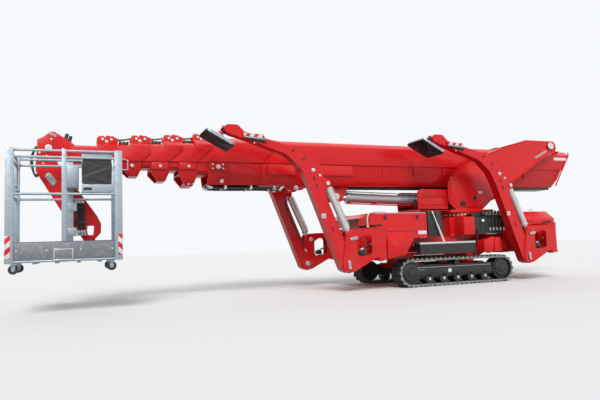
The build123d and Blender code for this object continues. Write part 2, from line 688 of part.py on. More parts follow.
with BuildPart() as jib_arm:
    side_plate(
        [
            jib_point(0, -JIB_HALF_DEPTH),
            jib_point(jib_length - 120, -JIB_HALF_DEPTH),
            jib_point(jib_length, -JIB_HALF_DEPTH + 15),
            jib_point(jib_length, JIB_HALF_DEPTH - 15),
            jib_point(jib_length - 120, JIB_HALF_DEPTH),
            jib_point(0, JIB_HALF_DEPTH),
        ],
        -JIB_HALF_WIDTH,
        JIB_HALF_WIDTH,
    )
    cross_pin(JIB_TOP_X, JIB_TOP_Z, -JIB_HALF_WIDTH, JIB_HALF_WIDTH, JIB_HALF_DEPTH)
    cross_pin(JIB_LOW_X, JIB_LOW_Z, -JIB_HALF_WIDTH, JIB_HALF_WIDTH, JIB_HALF_DEPTH - 15)
    cross_pin(JIB_TOP_X, JIB_TOP_Z, -JIB_HALF_WIDTH - 1, JIB_HALF_WIDTH + 1, JIB_PIN_R + FIT, Mode.SUBTRACT)
    cross_pin(JIB_LOW_X, JIB_LOW_Z, -JIB_HALF_WIDTH - 1, JIB_HALF_WIDTH + 1, JIB_PIN_R + FIT, Mode.SUBTRACT)
finish(jib_arm.part, "jib_arm")

# Levelling plates at the jib's low end, and the carrier with the basket's turning drum
level_inner = JIB_HALF_WIDTH + FIT
level_outer = level_inner + JIB_CHEEK_THICK
with BuildPart() as level_plates:
    for low in (-level_outer, level_inner):
        side_plate(
            [
                (JIB_LOW_X - 60, JIB_LOW_Z - 60),
                (JIB_LOW_X + 60, JIB_LOW_Z - 60),
                (JIB_LOW_X + 60, JIB_LOW_Z + 60),
                (JIB_LOW_X - 60, JIB_LOW_Z + 60),
            ],
            low,
            low + JIB_CHEEK_THICK,
            radius=55,
        )
    cross_pin(JIB_LOW_X, JIB_LOW_Z, -level_outer - 30, level_outer + 30, JIB_PIN_R)
finish(level_plates.part, "level_plates")

with BuildPart() as basket_carrier:
    for low in (-level_outer - FIT - 14, level_outer + FIT):
        side_plate(
            [
                (JIB_LOW_X - 70, JIB_LOW_Z - 70),
                (JIB_LOW_X + 150, JIB_LOW_Z - 70),
                (JIB_LOW_X + 150, JIB_LOW_Z + 70),
                (JIB_LOW_X - 70, JIB_LOW_Z + 70),
            ],
            low,
            low + 14,
            radius=50,
        )
    cross_pin(JIB_LOW_X, JIB_LOW_Z, -level_outer - 40, level_outer + 40, JIB_PIN_R + FIT, Mode.SUBTRACT)
    block(
        (JIB_LOW_X + 100, TURN_AXIS_X - 30),
        (-level_outer - FIT - 14, level_outer + FIT + 14),
        (TURN_DRUM_LOW + 65, TURN_DRUM_HIGH - 65),
    )
    upright_pin(TURN_AXIS_X, TURN_AXIS_Y, TURN_DRUM_LOW + 60, TURN_DRUM_HIGH - 60, TURN_DRUM_R)
    upright_pin(TURN_AXIS_X, TURN_AXIS_Y, TURN_DRUM_LOW, TURN_DRUM_HIGH, 30)
finish(basket_carrier.part, "basket_carrier")

# Basket: a tube frame with toe boards, and forks that hold the turning drum
basket_front_x = FRONT_X
tube = BASKET_POST_HALF
post_xs = (BASKET_REAR_X + tube, (BASKET_REAR_X + basket_front_x) / 2, basket_front_x - tube)
post_ys = (BASKET_INNER_Y + tube, BASKET_OUTER_Y - tube)
rail = BASKET_RAIL_R
rail_zs = (BASKET_FLOOR_Z - FLOOR_THICK - rail, BASKET_MID_RAIL_Z, BASKET_TOP_Z - rail - 4)
with BuildPart() as basket_frame:
    for x in post_xs:
        for y in post_ys:
            block((x - tube, x + tube), (y - tube, y + tube), (rail_zs[0] - rail - 4, BASKET_TOP_Z))
    for z in rail_zs:
        for y in post_ys:
            bar((post_xs[0], y, z), (post_xs[-1], y, z), rail)
        for x in (post_xs[0], post_xs[-1]):
            bar((x, post_ys[0], z), (x, post_ys[-1], z), rail)
    for y in post_ys:
        block(
            (post_xs[0], post_xs[-1]),
            (y - TOE_BOARD_THICK / 2, y + TOE_BOARD_THICK / 2),
            (rail_zs[0], BASKET_FLOOR_Z + TOE_BOARD_HEIGHT),
        )
    for x in (post_xs[0], post_xs[-1]):
        block(
            (x - TOE_BOARD_THICK / 2, x + TOE_BOARD_THICK / 2),
            (post_ys[0], post_ys[-1]),
            (rail_zs[0], BASKET_FLOOR_Z + TOE_BOARD_HEIGHT),
        )
    block(
        (TURN_AXIS_X - 60, TURN_AXIS_X + 60),
        (BASKET_INNER_Y - 10, BASKET_INNER_Y + 2 * tube),
        (rail_zs[0], BASKET_MID_RAIL_Z),
    )
    for z in (TURN_DRUM_LOW + 60 - FIT - 25, TURN_DRUM_HIGH - 60 + FIT):
        block((TURN_AXIS_X - 55, TURN_AXIS_X + 55), (TURN_AXIS_Y, BASKET_INNER_Y), (z, z + 25))
        upright_pin(TURN_AXIS_X, TURN_AXIS_Y, z, z + 25, 55)
        upright_pin(TURN_AXIS_X, TURN_AXIS_Y, z - 1, z + 26, 30 + FIT, Mode.SUBTRACT)
finish(basket_frame.part, "basket_frame")

with BuildPart() as basket_floor:
    block(
        (post_xs[0] + tube + FIT, post_xs[-1] - tube - FIT),
        (post_ys[0] + tube + FIT, post_ys[-1] - tube - FIT),
        (BASKET_FLOOR_Z - FLOOR_THICK, BASKET_FLOOR_Z),
    )
finish(basket_floor.part, "basket_floor")

with BuildPart() as control_console:
    block(
        (TURN_AXIS_X - 170, TURN_AXIS_X + 170),
        (BASKET_INNER_Y + 2 * tube, BASKET_INNER_Y + 2 * tube + 180),
        (BASKET_TOP_Z - 330, BASKET_TOP_Z - 60),
    )
finish(control_console.part, "control_console")

# Castors under the basket corners
castor_z = rail_zs[0] - rail - 12 - CASTOR_R
castor_places = [
    ("castor_wheel_front_left", post_xs[-1] - 60, post_ys[1] - 40),
    ("castor_wheel_front_right", post_xs[-1] - 60, post_ys[0] + 40),
    ("castor_wheel_rear_left", post_xs[0] + 60, post_ys[1] - 40),
    ("castor_wheel_rear_right", post_xs[0] + 60, post_ys[0] + 40),
]
with BuildPart() as castor_forks:
    for name, x, y in castor_places:
        block((x - 35, x + 35), (y - 60, y + 60), (castor_z + CASTOR_R + 6, castor_z + CASTOR_R + 12))
        for low in (y - CASTOR_WIDTH / 2 - FIT - 4, y + CASTOR_WIDTH / 2 + FIT):
            side_plate(
                [
                    (x - 15, castor_z - 15),
                    (x + 15, castor_z - 15),
                    (x + 25, castor_z + CASTOR_R + 8),
                    (x - 25, castor_z + CASTOR_R + 8),
                ],
                low,
                low + 4,
            )
        cross_pin(x, castor_z, y - CASTOR_WIDTH / 2 - 8, y + CASTOR_WIDTH / 2 + 8, 8)
finish(castor_forks.part, "castor_forks")
for name, x, y in castor_places:
    with BuildPart() as castor_wheel:
        cross_pin(x, castor_z, y - CASTOR_WIDTH / 2, y + CASTOR_WIDTH / 2, CASTOR_R)
        cross_pin(x, castor_z, y - CASTOR_WIDTH, y + CASTOR_WIDTH, 8 + FIT, Mode.SUBTRACT)
    finish(castor_wheel.part, name)

# Legs: console, leg, cylinder and foot, first for the left front corner, then placed at each corner
cheek_low = LEG_THICK / 2 + 5
cheek_high = cheek_low + CONSOLE_CHEEK
plane_y = LEG_PLANE_Y


def leg_xz(point):
    """Point of a leg drawing, counted from the leg's pivot, placed at the left front corner."""
    return (FRONT_PIVOT_X + point[0], LEG_PIVOT_Z + point[1])


console_outline = [
    leg_xz(point)
    for point in (
        (-CONSOLE_REACH, SWIVEL_LOW - LEG_PIVOT_Z + FIT),
        (-CONSOLE_REACH + 120, SWIVEL_LOW - LEG_PIVOT_Z + FIT),
        (-60, -90),
        (85, -90),
        (95, 20),
        (40, 380),
        (10, 455),
        (-120, 470),
        (-360, SWIVEL_HIGH - LEG_PIVOT_Z - FIT),
        (-CONSOLE_REACH, SWIVEL_HIGH - LEG_PIVOT_Z - FIT),
    )
]
console_radii = [20, 60, 60, 60, 80, 90, 50, 60, 40, 20]
window_outline = [leg_xz(point) for point in ((-350, 130), (-120, 110), (-120, 340), (-200, 390), (-350, 390))]
low_pin = leg_xz(LEG_CYLINDER_LOW)
high_pin = leg_xz(LEG_CYLINDER_HIGH)
swivel_x = FRONT_PIVOT_X - CONSOLE_REACH
with BuildPart() as console:
    for low in (plane_y - cheek_high, plane_y + cheek_low):
        side_plate(console_outline, low, low + CONSOLE_CHEEK, radius=console_radii)
    side_plate(window_outline, plane_y - 200, plane_y + 200, radius=50, mode=Mode.SUBTRACT)
    upright_pin(swivel_x, plane_y, SWIVEL_LOW + FIT, SWIVEL_HIGH - FIT, SWIVEL_R + 8)
    block(
        (swivel_x, swivel_x + 110),
        (plane_y - cheek_low - 1, plane_y + cheek_low + 1),
        (SWIVEL_LOW + 10, SWIVEL_HIGH - 10),
    )
    upright_pin(swivel_x, plane_y, SWIVEL_LOW - 50, SWIVEL_HIGH + 50, SWIVEL_PIN_R + FIT, Mode.SUBTRACT)
    cross_pin(FRONT_PIVOT_X, LEG_PIVOT_Z, plane_y - cheek_high - 10, plane_y + cheek_high + 10, LEG_PIN_R)
    for side in (-1, 1):
        inner = plane_y + side * (LEG_EYE_WIDTH / 2 + FIT)
        outer = plane_y + side * (cheek_high + 10)
        cross_pin(*low_pin, min(inner, outer), max(inner, outer), LEG_EYE_R - 5)

leg_outline = [
    leg_xz(point)
    for point in (
        (-95, -60),
        (300, 930),
        (345, 1310),
        (560, 1515),
        (1390, 1738),
        (1480, 1826),
        (1610, 1826),
        (1665, 1790),
        (1640, 1735),
        (1560, 1700),
        (1400, 1655),
        (840, 1470),
        (650, 1300),
        (545, 1090),
        (105, -60),
        (0, -110),
    )
]
leg_radii = [50, 400, 120, 250, 60, 50, 25, 20, 30, 100, 200, 250, 150, 300, 60, 60]
with BuildPart() as leg:
    side_plate(leg_outline, plane_y - LEG_THICK / 2, plane_y + LEG_THICK / 2, radius=leg_radii)
    cross_pin(FRONT_PIVOT_X, LEG_PIVOT_Z, plane_y - cheek_low + FIT, plane_y + cheek_low - FIT, 80)
    cross_pin(FRONT_PIVOT_X, LEG_PIVOT_Z, plane_y - 200, plane_y + 200, LEG_PIN_R + FIT, Mode.SUBTRACT)
    for low in (plane_y - LEG_EYE_WIDTH / 2 - FIT - 16, plane_y + LEG_EYE_WIDTH / 2 + FIT):
        side_plate(
            [
                (high_pin[0] - 45, high_pin[1] - 40),
                (high_pin[0] + 120, high_pin[1] - 110),
                (high_pin[0] + 120, high_pin[1] + 110),
                (high_pin[0] - 45, high_pin[1] + 40),
            ],
            low,
            low + 16,
            radius=35,
        )
    cross_pin(*high_pin, plane_y - LEG_EYE_WIDTH / 2 - 30, plane_y + LEG_EYE_WIDTH / 2 + 30, LEG_CYLINDER_PIN_R)
    ball = leg_xz(FOOT_BALL)
    with Locations((ball[0], plane_y, ball[1])):
        Sphere(FOOT_BALL_R)
    stalk = radians(FOOT_STALK_ANGLE)
    bar((ball[0], plane_y, ball[1]), along(ball, (cos(stalk), sin(stalk)), 130, plane_y), 26)

leg_cylinder_length = hypot(high_pin[0] - low_pin[0], high_pin[1] - low_pin[1])
leg_cylinder_dir = (
    (low_pin[0] - high_pin[0]) / leg_cylinder_length,
    (low_pin[1] - high_pin[1]) / leg_cylinder_length,
)
leg_barrel_end = leg_cylinder_length - 115
with BuildPart() as leg_barrel:
    cross_pin(*high_pin, plane_y - LEG_EYE_WIDTH / 2, plane_y + LEG_EYE_WIDTH / 2, LEG_EYE_R)
    bar(
        along(high_pin, leg_cylinder_dir, 55, plane_y),
        along(high_pin, leg_cylinder_dir, leg_barrel_end, plane_y),
        LEG_BARREL_R,
    )
    bar(
        along(high_pin, leg_cylinder_dir, 20, plane_y),
        along(high_pin, leg_cylinder_dir, 60, plane_y),
        LEG_EYE_WIDTH / 2,
    )
    bar(
        along(high_pin, leg_cylinder_dir, 80, plane_y),
        along(high_pin, leg_cylinder_dir, leg_barrel_end + 5, plane_y),
        LEG_ROD_R + SLIDE_GAP,
        Mode.SUBTRACT,
    )
    cross_pin(*high_pin, plane_y - 100, plane_y + 100, LEG_CYLINDER_PIN_R + FIT, Mode.SUBTRACT)

with BuildPart() as leg_rod:
    cross_pin(*low_pin, plane_y - LEG_EYE_WIDTH / 2, plane_y + LEG_EYE_WIDTH / 2, LEG_EYE_R)
    bar(
        along(high_pin, leg_cylinder_dir, 90, plane_y),
        along(high_pin, leg_cylinder_dir, leg_cylinder_length - 25, plane_y),
        LEG_ROD_R,
    )
    cross_pin(*low_pin, plane_y - 100, plane_y + 100, LEG_CYLINDER_PIN_R, Mode.SUBTRACT)

tilt = radians(FOOT_TILT)
foot_up = (-sin(tilt), cos(tilt))
foot_right = (cos(tilt), sin(tilt))
foot_plane = Plane(
    origin=along(ball, foot_up, -FOOT_BALL_HEIGHT, plane_y),
    x_dir=(foot_right[0], 0, foot_right[1]),
    z_dir=(foot_up[0], 0, foot_up[1]),
)
with BuildPart() as foot:
    with BuildSketch(foot_plane) as pad:
        RectangleRounded(FOOT_LENGTH, FOOT_WIDTH, 60)
    extrude(pad.sketch, amount=-FOOT_THICK)
    with BuildSketch(foot_plane) as cup:
        Circle(62)
    extrude(cup.sketch, amount=FOOT_BALL_HEIGHT)
    with Locations((ball[0], plane_y, ball[1])):
        Sphere(FOOT_BALL_R + FIT, mode=Mode.SUBTRACT)

corners = [
    ("front_left", FRONT_PIVOT_X, 1),
    ("front_right", FRONT_PIVOT_X, -1),
    ("rear_left", REAR_PIVOT_X, 1),
    ("rear_right", REAR_PIVOT_X, -1),
]
leg_pieces = [
    ("console", console),
    ("leg", leg),
    ("leg_barrel", leg_barrel),
    ("leg_rod", leg_rod),
    ("foot", foot),
]
for corner, pivot_x, side in corners:
    for piece_name, piece in leg_pieces:
        with BuildPart() as placed:
            with Locations((pivot_x - FRONT_PIVOT_X, 0, 0)):
                add(piece.part if side > 0 else piece.part.mirror(Plane.XZ))
        finish(placed.part, f"{piece_name}_{corner}")
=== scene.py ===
"""Looks of a tracked spider lift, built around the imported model.

Everything is in metres, in the model's own frame: +X forward to the basket, +Y left, +Z up.
"""

import json
import math

import bmesh
import bpy
from mathutils import Matrix, Vector
from mathutils.geometry import tessellate_polygon


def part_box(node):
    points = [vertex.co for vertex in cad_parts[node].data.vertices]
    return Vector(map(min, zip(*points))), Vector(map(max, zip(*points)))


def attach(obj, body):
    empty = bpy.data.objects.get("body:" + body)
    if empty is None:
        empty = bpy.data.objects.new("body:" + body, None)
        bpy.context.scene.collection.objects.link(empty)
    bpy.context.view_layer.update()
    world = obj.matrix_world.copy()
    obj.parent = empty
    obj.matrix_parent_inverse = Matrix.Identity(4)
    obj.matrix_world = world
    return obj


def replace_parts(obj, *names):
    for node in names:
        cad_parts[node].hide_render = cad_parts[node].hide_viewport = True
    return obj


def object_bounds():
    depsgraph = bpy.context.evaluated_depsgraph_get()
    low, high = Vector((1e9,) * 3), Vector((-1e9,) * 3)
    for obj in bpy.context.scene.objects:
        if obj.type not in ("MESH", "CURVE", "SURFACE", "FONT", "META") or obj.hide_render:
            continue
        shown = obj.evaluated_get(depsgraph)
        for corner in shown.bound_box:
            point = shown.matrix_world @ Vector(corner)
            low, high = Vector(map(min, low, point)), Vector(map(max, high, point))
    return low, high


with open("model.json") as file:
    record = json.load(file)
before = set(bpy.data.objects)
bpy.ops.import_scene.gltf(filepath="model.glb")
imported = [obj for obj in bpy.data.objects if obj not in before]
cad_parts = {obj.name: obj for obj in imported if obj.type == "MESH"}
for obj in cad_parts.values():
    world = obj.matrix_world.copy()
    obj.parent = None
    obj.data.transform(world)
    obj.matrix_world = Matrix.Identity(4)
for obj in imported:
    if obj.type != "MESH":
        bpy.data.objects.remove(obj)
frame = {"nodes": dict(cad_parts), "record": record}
cad_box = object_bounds()

# Camera of the photograph: a standing point on the left side, ahead of the middle
CAMERA_PLACE = (3.63, 7.446, 0.654)
CAMERA_RIGHT = (-0.92844, 0.36990, -0.03425)
CAMERA_UP = (-0.0019, 0.0875, 0.99616)
CAMERA_FOCAL_PX = 555.35
PHOTO_WIDTH_PX = 600
SENSOR_MM = 36.0

# Directions: outward on the left side, and up
OUT = (0, 1, 0)
UP = (0, 0, 1)
SIDES = ((1, "left"), (-1, "right"))

# Boom: side ledge, half width, wall, slanted tail, and what each section is narrower by
BOOM_LEDGE_Z = 1.790
BOOM_LEDGE_DEPTH = 0.022
BOOM_HALF_WIDTH = 0.265
BOOM_WALL = 0.010
BOOM_TAIL_LENGTH = 0.380
SECTION_STEP_WIDTH = 0.028
MOUTH_SLOPE = 0.9
COLLAR_HIP_SHARE = 0.20
COLLAR_SIDE_Y = 0.2845
TIP_SECTION = 5
LAST_WEAR_BOX = 2
# Boom profiles from the outside in: top z, bottom z, collar bottom z, rear x, mouth x, mouth's setback
BOOM_PROFILES = (
    (2.120, 1.490, 1.490, -4.340, 2.030, 0.260),
    (2.085, 1.620, 1.475, -3.870, 2.408, 0.210),
    (2.056, 1.680, 1.540, -3.780, 2.762, 0.180),
    (2.032, 1.705, 1.600, -3.690, 3.107, 0.110),
    (2.010, 1.730, 1.635, -3.600, 3.446, 0.040),
    (1.988, 1.755, 1.755, -3.510, 3.715, 0.0),
)
# Guide heads on the sliding sections: section, rear x, front x, foot z
GUIDE_HEADS = (
    (1, 1.943, 2.198, 2.085),
    (2, 2.327, 2.582, 2.056),
    (3, 2.742, 2.997, 2.032),
    (4, 3.151, 3.406, 2.010),
)
# Rope wheels of a guide head: distance from its rear and front end, height, and turned profile
WHEEL_INSET = (0.080, 0.070)
WHEEL_RISE = 0.058
ROPE_WHEEL = (
    (0.0, 0.034), (0.004, 0.038), (0.07, 0.034), (0.078, 0.030), (0.086, 0.034), (0.152, 0.038),
    (0.156, 0.034),
)
HEAD_OUTLINE = (
    (3.655, 1.775), (3.655, 1.980), (3.715, 2.031), (3.893, 2.146), (3.939, 2.148), (4.025, 2.078),
    (4.089, 2.049), (4.089, 1.841), (4.023, 1.786), (3.868, 1.806),
)
JIB_OUTLINE = (
    (4.020, 1.990), (4.089, 1.950), (4.105, 1.771), (4.105, 1.659), (4.024, 1.517), (3.838, 1.200),
    (3.595, 0.855), (3.520, 0.725), (3.510, 0.620), (3.480, 0.603), (3.420, 0.620), (3.420, 0.740),
    (3.430, 0.815), (3.362, 0.890), (3.357, 1.002), (3.405, 1.102), (3.855, 1.750), (3.900, 1.950),
    (3.940, 1.990),
)
JIB_WINDOW = ((3.452, 0.862), (3.515, 0.870), (3.530, 0.980), (3.440, 0.985))
JIB_TOP = (3.960, 1.940)
JIB_SIDE_Y = 0.055
HEAD_SIDE_Y = 0.0713
BOOM_PIN = (-3.820, 2.180)
BOOM_REST_PIN = (0.765, 1.462)
# Lift cylinder: its pins on the turret and under the boom
LIFT_PINS = ((-2.400, 1.245), (0.100, 1.345))

# Basket: posts, turning axis, free spans of its sides (y, start x, end x), rails, boards, castors
BASKET_POST_XS = (3.206, 4.299)
BASKET_POST_YS = (0.930, 0.245)
MID_POST_X = 3.7675
TURN_AXIS = (3.745, 0.095)
SIDE_SPANS = (
    (0.245, 3.247, 3.680), (0.245, 3.810, 4.258), (0.930, 3.247, 3.7445), (0.930, 3.7905, 4.258),
)
RAIL_ZS = (1.293, 1.693, 1.765)
BOARD_XS = (3.247, 4.258)
BOARD_ZS = (0.592, 0.782)
CASTOR_XS = (4.260, 3.280)
CASTOR_YS = (0.890, 0.285)
COLUMN_FACE_Y = 0.2645
# Control panel at the near rails: its x and z
PANEL_XS = (3.268, 3.590)
PANEL_ZS = (1.312, 1.752)
# The cabinet fills only this part of its node, as the photograph shows a narrow plate there
CABINET_XS = (3.617, 3.757)

# Chassis: turning centre, the gas strut of the bonnet, and the track frames with their wheels
TURRET_X = -2.110
STAY_Y = 0.612
GIRDER_FACE_Y = 0.2985
TURRET_PLATE_Y = 0.3595
TURRET_PANEL_Y = 0.3705
TRACK_FRAME_Y = 0.685
TRACK_WHEEL_XS = (-2.3365, -0.7335)
TRACK_WHEEL_Z = 0.2035
TRACK_HUB = (
    (0.0, 0.125), (0.010, 0.125), (0.018, 0.112), (0.018, 0.060), (0.030, 0.052), (0.034, 0.0410),
)
TRACK_TOOTH = ((0.112, -0.008), (0.140, -0.005), (0.140, 0.005), (0.112, 0.008))

# Hose fittings: distance and radius, both as shares of the hose's radius
HOSE_CRIMP = ((-0.6, 1.1), (0.4, 1.45), (3.2, 1.45), (3.6, 1.15))
HOSE_NUT = ((-1.6, 1.5), (-0.4, 1.6))

# Legs: middle plane, outer face, the consoles' pin keepers, the cylinder's pins and the foot's ball
LEG_MIDDLE_Y = 0.725
LEG_OUTER_Y = 0.795
KEEPER_YS = (0.8245, 0.8305)
LEG_LOW_PIN = (0.223, 0.733)
LEG_HIGH_PIN = (0.547, 1.455)
FOOT_BALL = (1.982, 2.062)
FOOT_TILT = math.radians(28.5)
STALK_ANGLE = math.radians(135)
BALL_BOOT = (
    (0.048, 0.030), (0.056, 0.042), (0.064, 0.036), (0.072, 0.045), (0.080, 0.038), (0.088, 0.044),
    (0.098, 0.032),
)
# Corners: name, distance from the front legs along X, side
CORNERS = (
    ("front_left", 0.0, 1),
    ("front_right", 0.0, -1),
    ("rear_left", -3.08, 1),
    ("rear_right", -3.08, -1),
)

# Order of (outline u, outline v, depth) in space for a slab that is thick along an axis
PLANES = {"X": (1, 2, 0), "Y": (0, 2, 1), "Z": (0, 1, 2)}
SHARP_ANGLE = math.radians(35)
COAT_ROUGHNESS = 0.08


class Look:
    """A node-based material on one Principled shader."""

    def __init__(self, name, colour, roughness, metallic=0.0, coat=0.0):
        self.material = bpy.data.materials.new(name)
        self.material.use_nodes = True
        self.tree = self.material.node_tree
        self.shader = self.tree.nodes["Principled BSDF"]
        self.shader.inputs["Base Color"].default_value = (*colour, 1)
        self.shader.inputs["Roughness"].default_value = roughness
        self.shader.inputs["Metallic"].default_value = metallic
        self.shader.inputs["Coat Weight"].default_value = coat
        self.shader.inputs["Coat Roughness"].default_value = COAT_ROUGHNESS
        self.coords = self.add("ShaderNodeTexCoord")
        self.colour = colour
        self.bumps = None

    def add(self, kind, **settings):
        node = self.tree.nodes.new(kind)
        for key, value in settings.items():
            setattr(node, key, value)
        return node

    def link(self, source, target):
        self.tree.links.new(source, target)

    def texture(self, kind, scale, stretch=(1, 1, 1)):
        """Texture over the object's own metres, stretched along its axes."""
        mapping = self.add("ShaderNodeMapping")
        mapping.inputs["Scale"].default_value = stretch
        self.link(self.coords.outputs["Object"], mapping.inputs["Vector"])
        node = self.add(kind)
        node.inputs["Scale"].default_value = scale
        self.link(mapping.outputs["Vector"], node.inputs["Vector"])
        return node

    def noise(self, scale, detail):
        """Cloudy value between 0 and 1."""
        node = self.texture("ShaderNodeTexNoise", scale)
        node.inputs["Detail"].default_value = detail
        return node.outputs["Fac"]

    def cells(self, scale, stretch=(1, 1, 1)):
        """Colour of irregular cells, as on a zinc coat."""
        return self.texture("ShaderNodeTexVoronoi", scale, stretch).outputs["Color"]

    def part(self, output, axis):
        """One axis of the object's own place or direction."""
        split = self.add("ShaderNodeSeparateXYZ")
        self.link(self.coords.outputs[output], split.inputs["Vector"])
        return split.outputs[axis]

    def height(self, low, high):
        """0 at the height low and 1 at the height high, in metres."""
        return self.ramp(self.part("Object", "Z"), low, high)

    def facing(self, axis, low, high):
        """0 where the surface faces along an axis by less than low, 1 where by more than high."""
        size = self.add("ShaderNodeMath", operation="ABSOLUTE")
        self.link(self.part("Normal", axis), size.inputs[0])
        return self.ramp(size.outputs[0], low, high)

    def stripes(self, direction, pitch):
        """0 and 1 by turns along a direction, in metres."""
        along = self.add("ShaderNodeVectorMath", operation="DOT_PRODUCT")
        along.inputs[1].default_value = [part / pitch for part in direction]
        self.link(self.coords.outputs["Object"], along.inputs[0])
        share = self.add("ShaderNodeMath", operation="FRACT")
        self.link(along.outputs["Value"], share.inputs[0])
        above = self.add("ShaderNodeMath", operation="GREATER_THAN")
        above.inputs[1].default_value = 0.5
        self.link(share.outputs[0], above.inputs[0])
        return above.outputs[0]

    def ramp(self, source, low, high, start=0.0, end=1.0):
        """Maps a value from low..high to start..end."""
        node = self.add("ShaderNodeMapRange")
        node.inputs["From Min"].default_value = low
        node.inputs["From Max"].default_value = high
        node.inputs["To Min"].default_value = start
        node.inputs["To Max"].default_value = end
        self.link(source, node.inputs["Value"])
        return node.outputs["Result"]

    def multiply(self, first, second):
        """Product of two values."""
        node = self.add("ShaderNodeMath", operation="MULTIPLY")
        self.link(first, node.inputs[0])
        self.link(second, node.inputs[1])
        return node.outputs[0]

    def tint(self, factor, colour):
        """Mixes a second colour over the base colour by a factor."""
        mix = self.add("ShaderNodeMix", data_type="RGBA")
        base = self.shader.inputs["Base Color"]
        if base.links:
            self.link(base.links[0].from_socket, mix.inputs["A"])
        else:
            mix.inputs["A"].default_value = (*self.colour, 1)
        mix.inputs["B"].default_value = (*colour, 1)
        self.link(factor, mix.inputs["Factor"])
        self.link(mix.outputs["Result"], base)

    def rough(self, factor, low, high):
        """Roughness from low to high by a factor."""
        self.link(self.ramp(factor, 0.0, 1.0, low, high), self.shader.inputs["Roughness"])

    def bump(self, height, strength, distance):
        """Adds a fine relief."""
        node = self.add("ShaderNodeBump")
        node.inputs["Strength"].default_value = strength
        node.inputs["Distance"].default_value = distance
        self.link(height, node.inputs["Height"])
        if self.bumps:
            self.link(self.bumps, node.inputs["Normal"])
        self.bumps = node.outputs["Normal"]
        self.link(self.bumps, self.shader.inputs["Normal"])

    def worn(self, stain=(), sheen=(), grain=()):
        """Cloudy stain of a second colour, uneven roughness and fine grain, each from its own noise."""
        if stain:
            scale, detail, low, high, share, colour = stain
            self.tint(self.ramp(self.noise(scale, detail), low, high, 0.0, share), colour)
        if sheen:
            scale, detail, low, high = sheen
            self.rough(self.noise(scale, detail), low, high)
        if grain:
            scale, detail, strength, distance = grain
            self.bump(self.noise(scale, detail), strength, distance)
        return self


def red_paint():
    look = Look("red_gloss_paint", (0.74, 0.008, 0.011), 0.36, coat=0.15)
    look.shader.inputs["Specular IOR Level"].default_value = 0.30
    look.worn((1.7, 3, 0.35, 0.75, 0.25, (0.60, 0.005, 0.008)))
    dust = look.ramp(look.noise(9, 8), 0.42, 0.8)
    low_down = look.ramp(look.height(0.25, 1.1), 0, 1, 0.20, 0.01)
    look.tint(look.multiply(dust, low_down), (0.40, 0.20, 0.15))
    return look.worn(sheen=(5, 5, 0.26, 0.46), grain=(260, 2, 0.04, 0.002)).material


def track_rubber():
    look = Look("track_rubber", (0.016, 0.016, 0.016), 0.72)
    look.worn((22, 9, 0.45, 0.85, 0.5, (0.09, 0.08, 0.07)))
    # Pale patches on the faces that point sideways, the sides of the track belt: partly dust, partly a
    # painted highlight of the sun on those sides.
    dust_and_highlight = look.ramp(look.noise(35, 6), 0.30, 0.62, 0.15, 0.75)
    look.tint(look.multiply(look.facing("Y", 0.6, 0.9), dust_and_highlight), (0.42, 0.41, 0.38))
    return look.worn(sheen=(12, 6, 0.62, 0.9), grain=(150, 6, 0.25, 0.003)).material


def galvanised():
    look = Look("galvanised_steel", (0.40, 0.46, 0.51), 0.48, 0.55)
    grey = look.add("ShaderNodeRGBToBW")
    look.link(look.cells(42), grey.inputs["Color"])
    look.tint(look.ramp(grey.outputs["Val"], 0.1, 0.9, 0.0, 0.5), (0.27, 0.32, 0.37))
    look.rough(grey.outputs["Val"], 0.36, 0.62)
    return look.worn(grain=(90, 4, 0.07, 0.002)).material


def grey_plate():
    look = Look("grey_floor_plate", (0.30, 0.34, 0.37), 0.55, 0.4)
    look.worn((11, 6, 0.4, 0.8, 0.5, (0.20, 0.21, 0.21)), (20, 4, 0.45, 0.7))
    look.bump(look.cells(60, (1, 2.4, 1)), 0.25, 0.002)
    return look.material


def tread_aluminium():
    look = Look("tread_aluminium", (0.62, 0.62, 0.60), 0.38, 0.8)
    look.worn((18, 6, 0.4, 0.8, 0.5, (0.35, 0.34, 0.31)))
    look.bump(look.cells(70, (1, 2.6, 1)), 0.5, 0.002)
    return look.material


def cover_fabric():
    look = Look("coated_cover_fabric", (0.016, 0.015, 0.015), 0.50)
    look.worn((14, 6, 0.5, 0.8, 0.35, (0.06, 0.058, 0.056)), (9, 5, 0.38, 0.62))
    look.bump(look.cells(700), 0.12, 0.001)
    return look.worn(grain=(11, 5, 0.45, 0.012)).material


def striped(name, base, stripe, direction, pitch, stain=()):
    """Sheet with stripes of a second colour."""
    look = Look(name, base, 0.32)
    look.tint(look.stripes(direction, pitch), stripe)
    return look.worn(stain, (25, 3, 0.26, 0.42)).material


def post_tape(name, lean):
    """Red and white tape on a basket post, with stripes that lean one way."""
    stain = (30, 6, 0.5, 0.8, 0.2, (0.45, 0.42, 0.40))
    return striped(name, (0.80, 0.80, 0.80), (0.70, 0.010, 0.014), (lean, 0.0, 1.0), 0.118, stain)


def red_lens():
    look = Look("red_lamp_lens", (0.42, 0.006, 0.008), 0.12, coat=0.8)
    look.bump(look.cells(120), 0.3, 0.002)
    return look.material


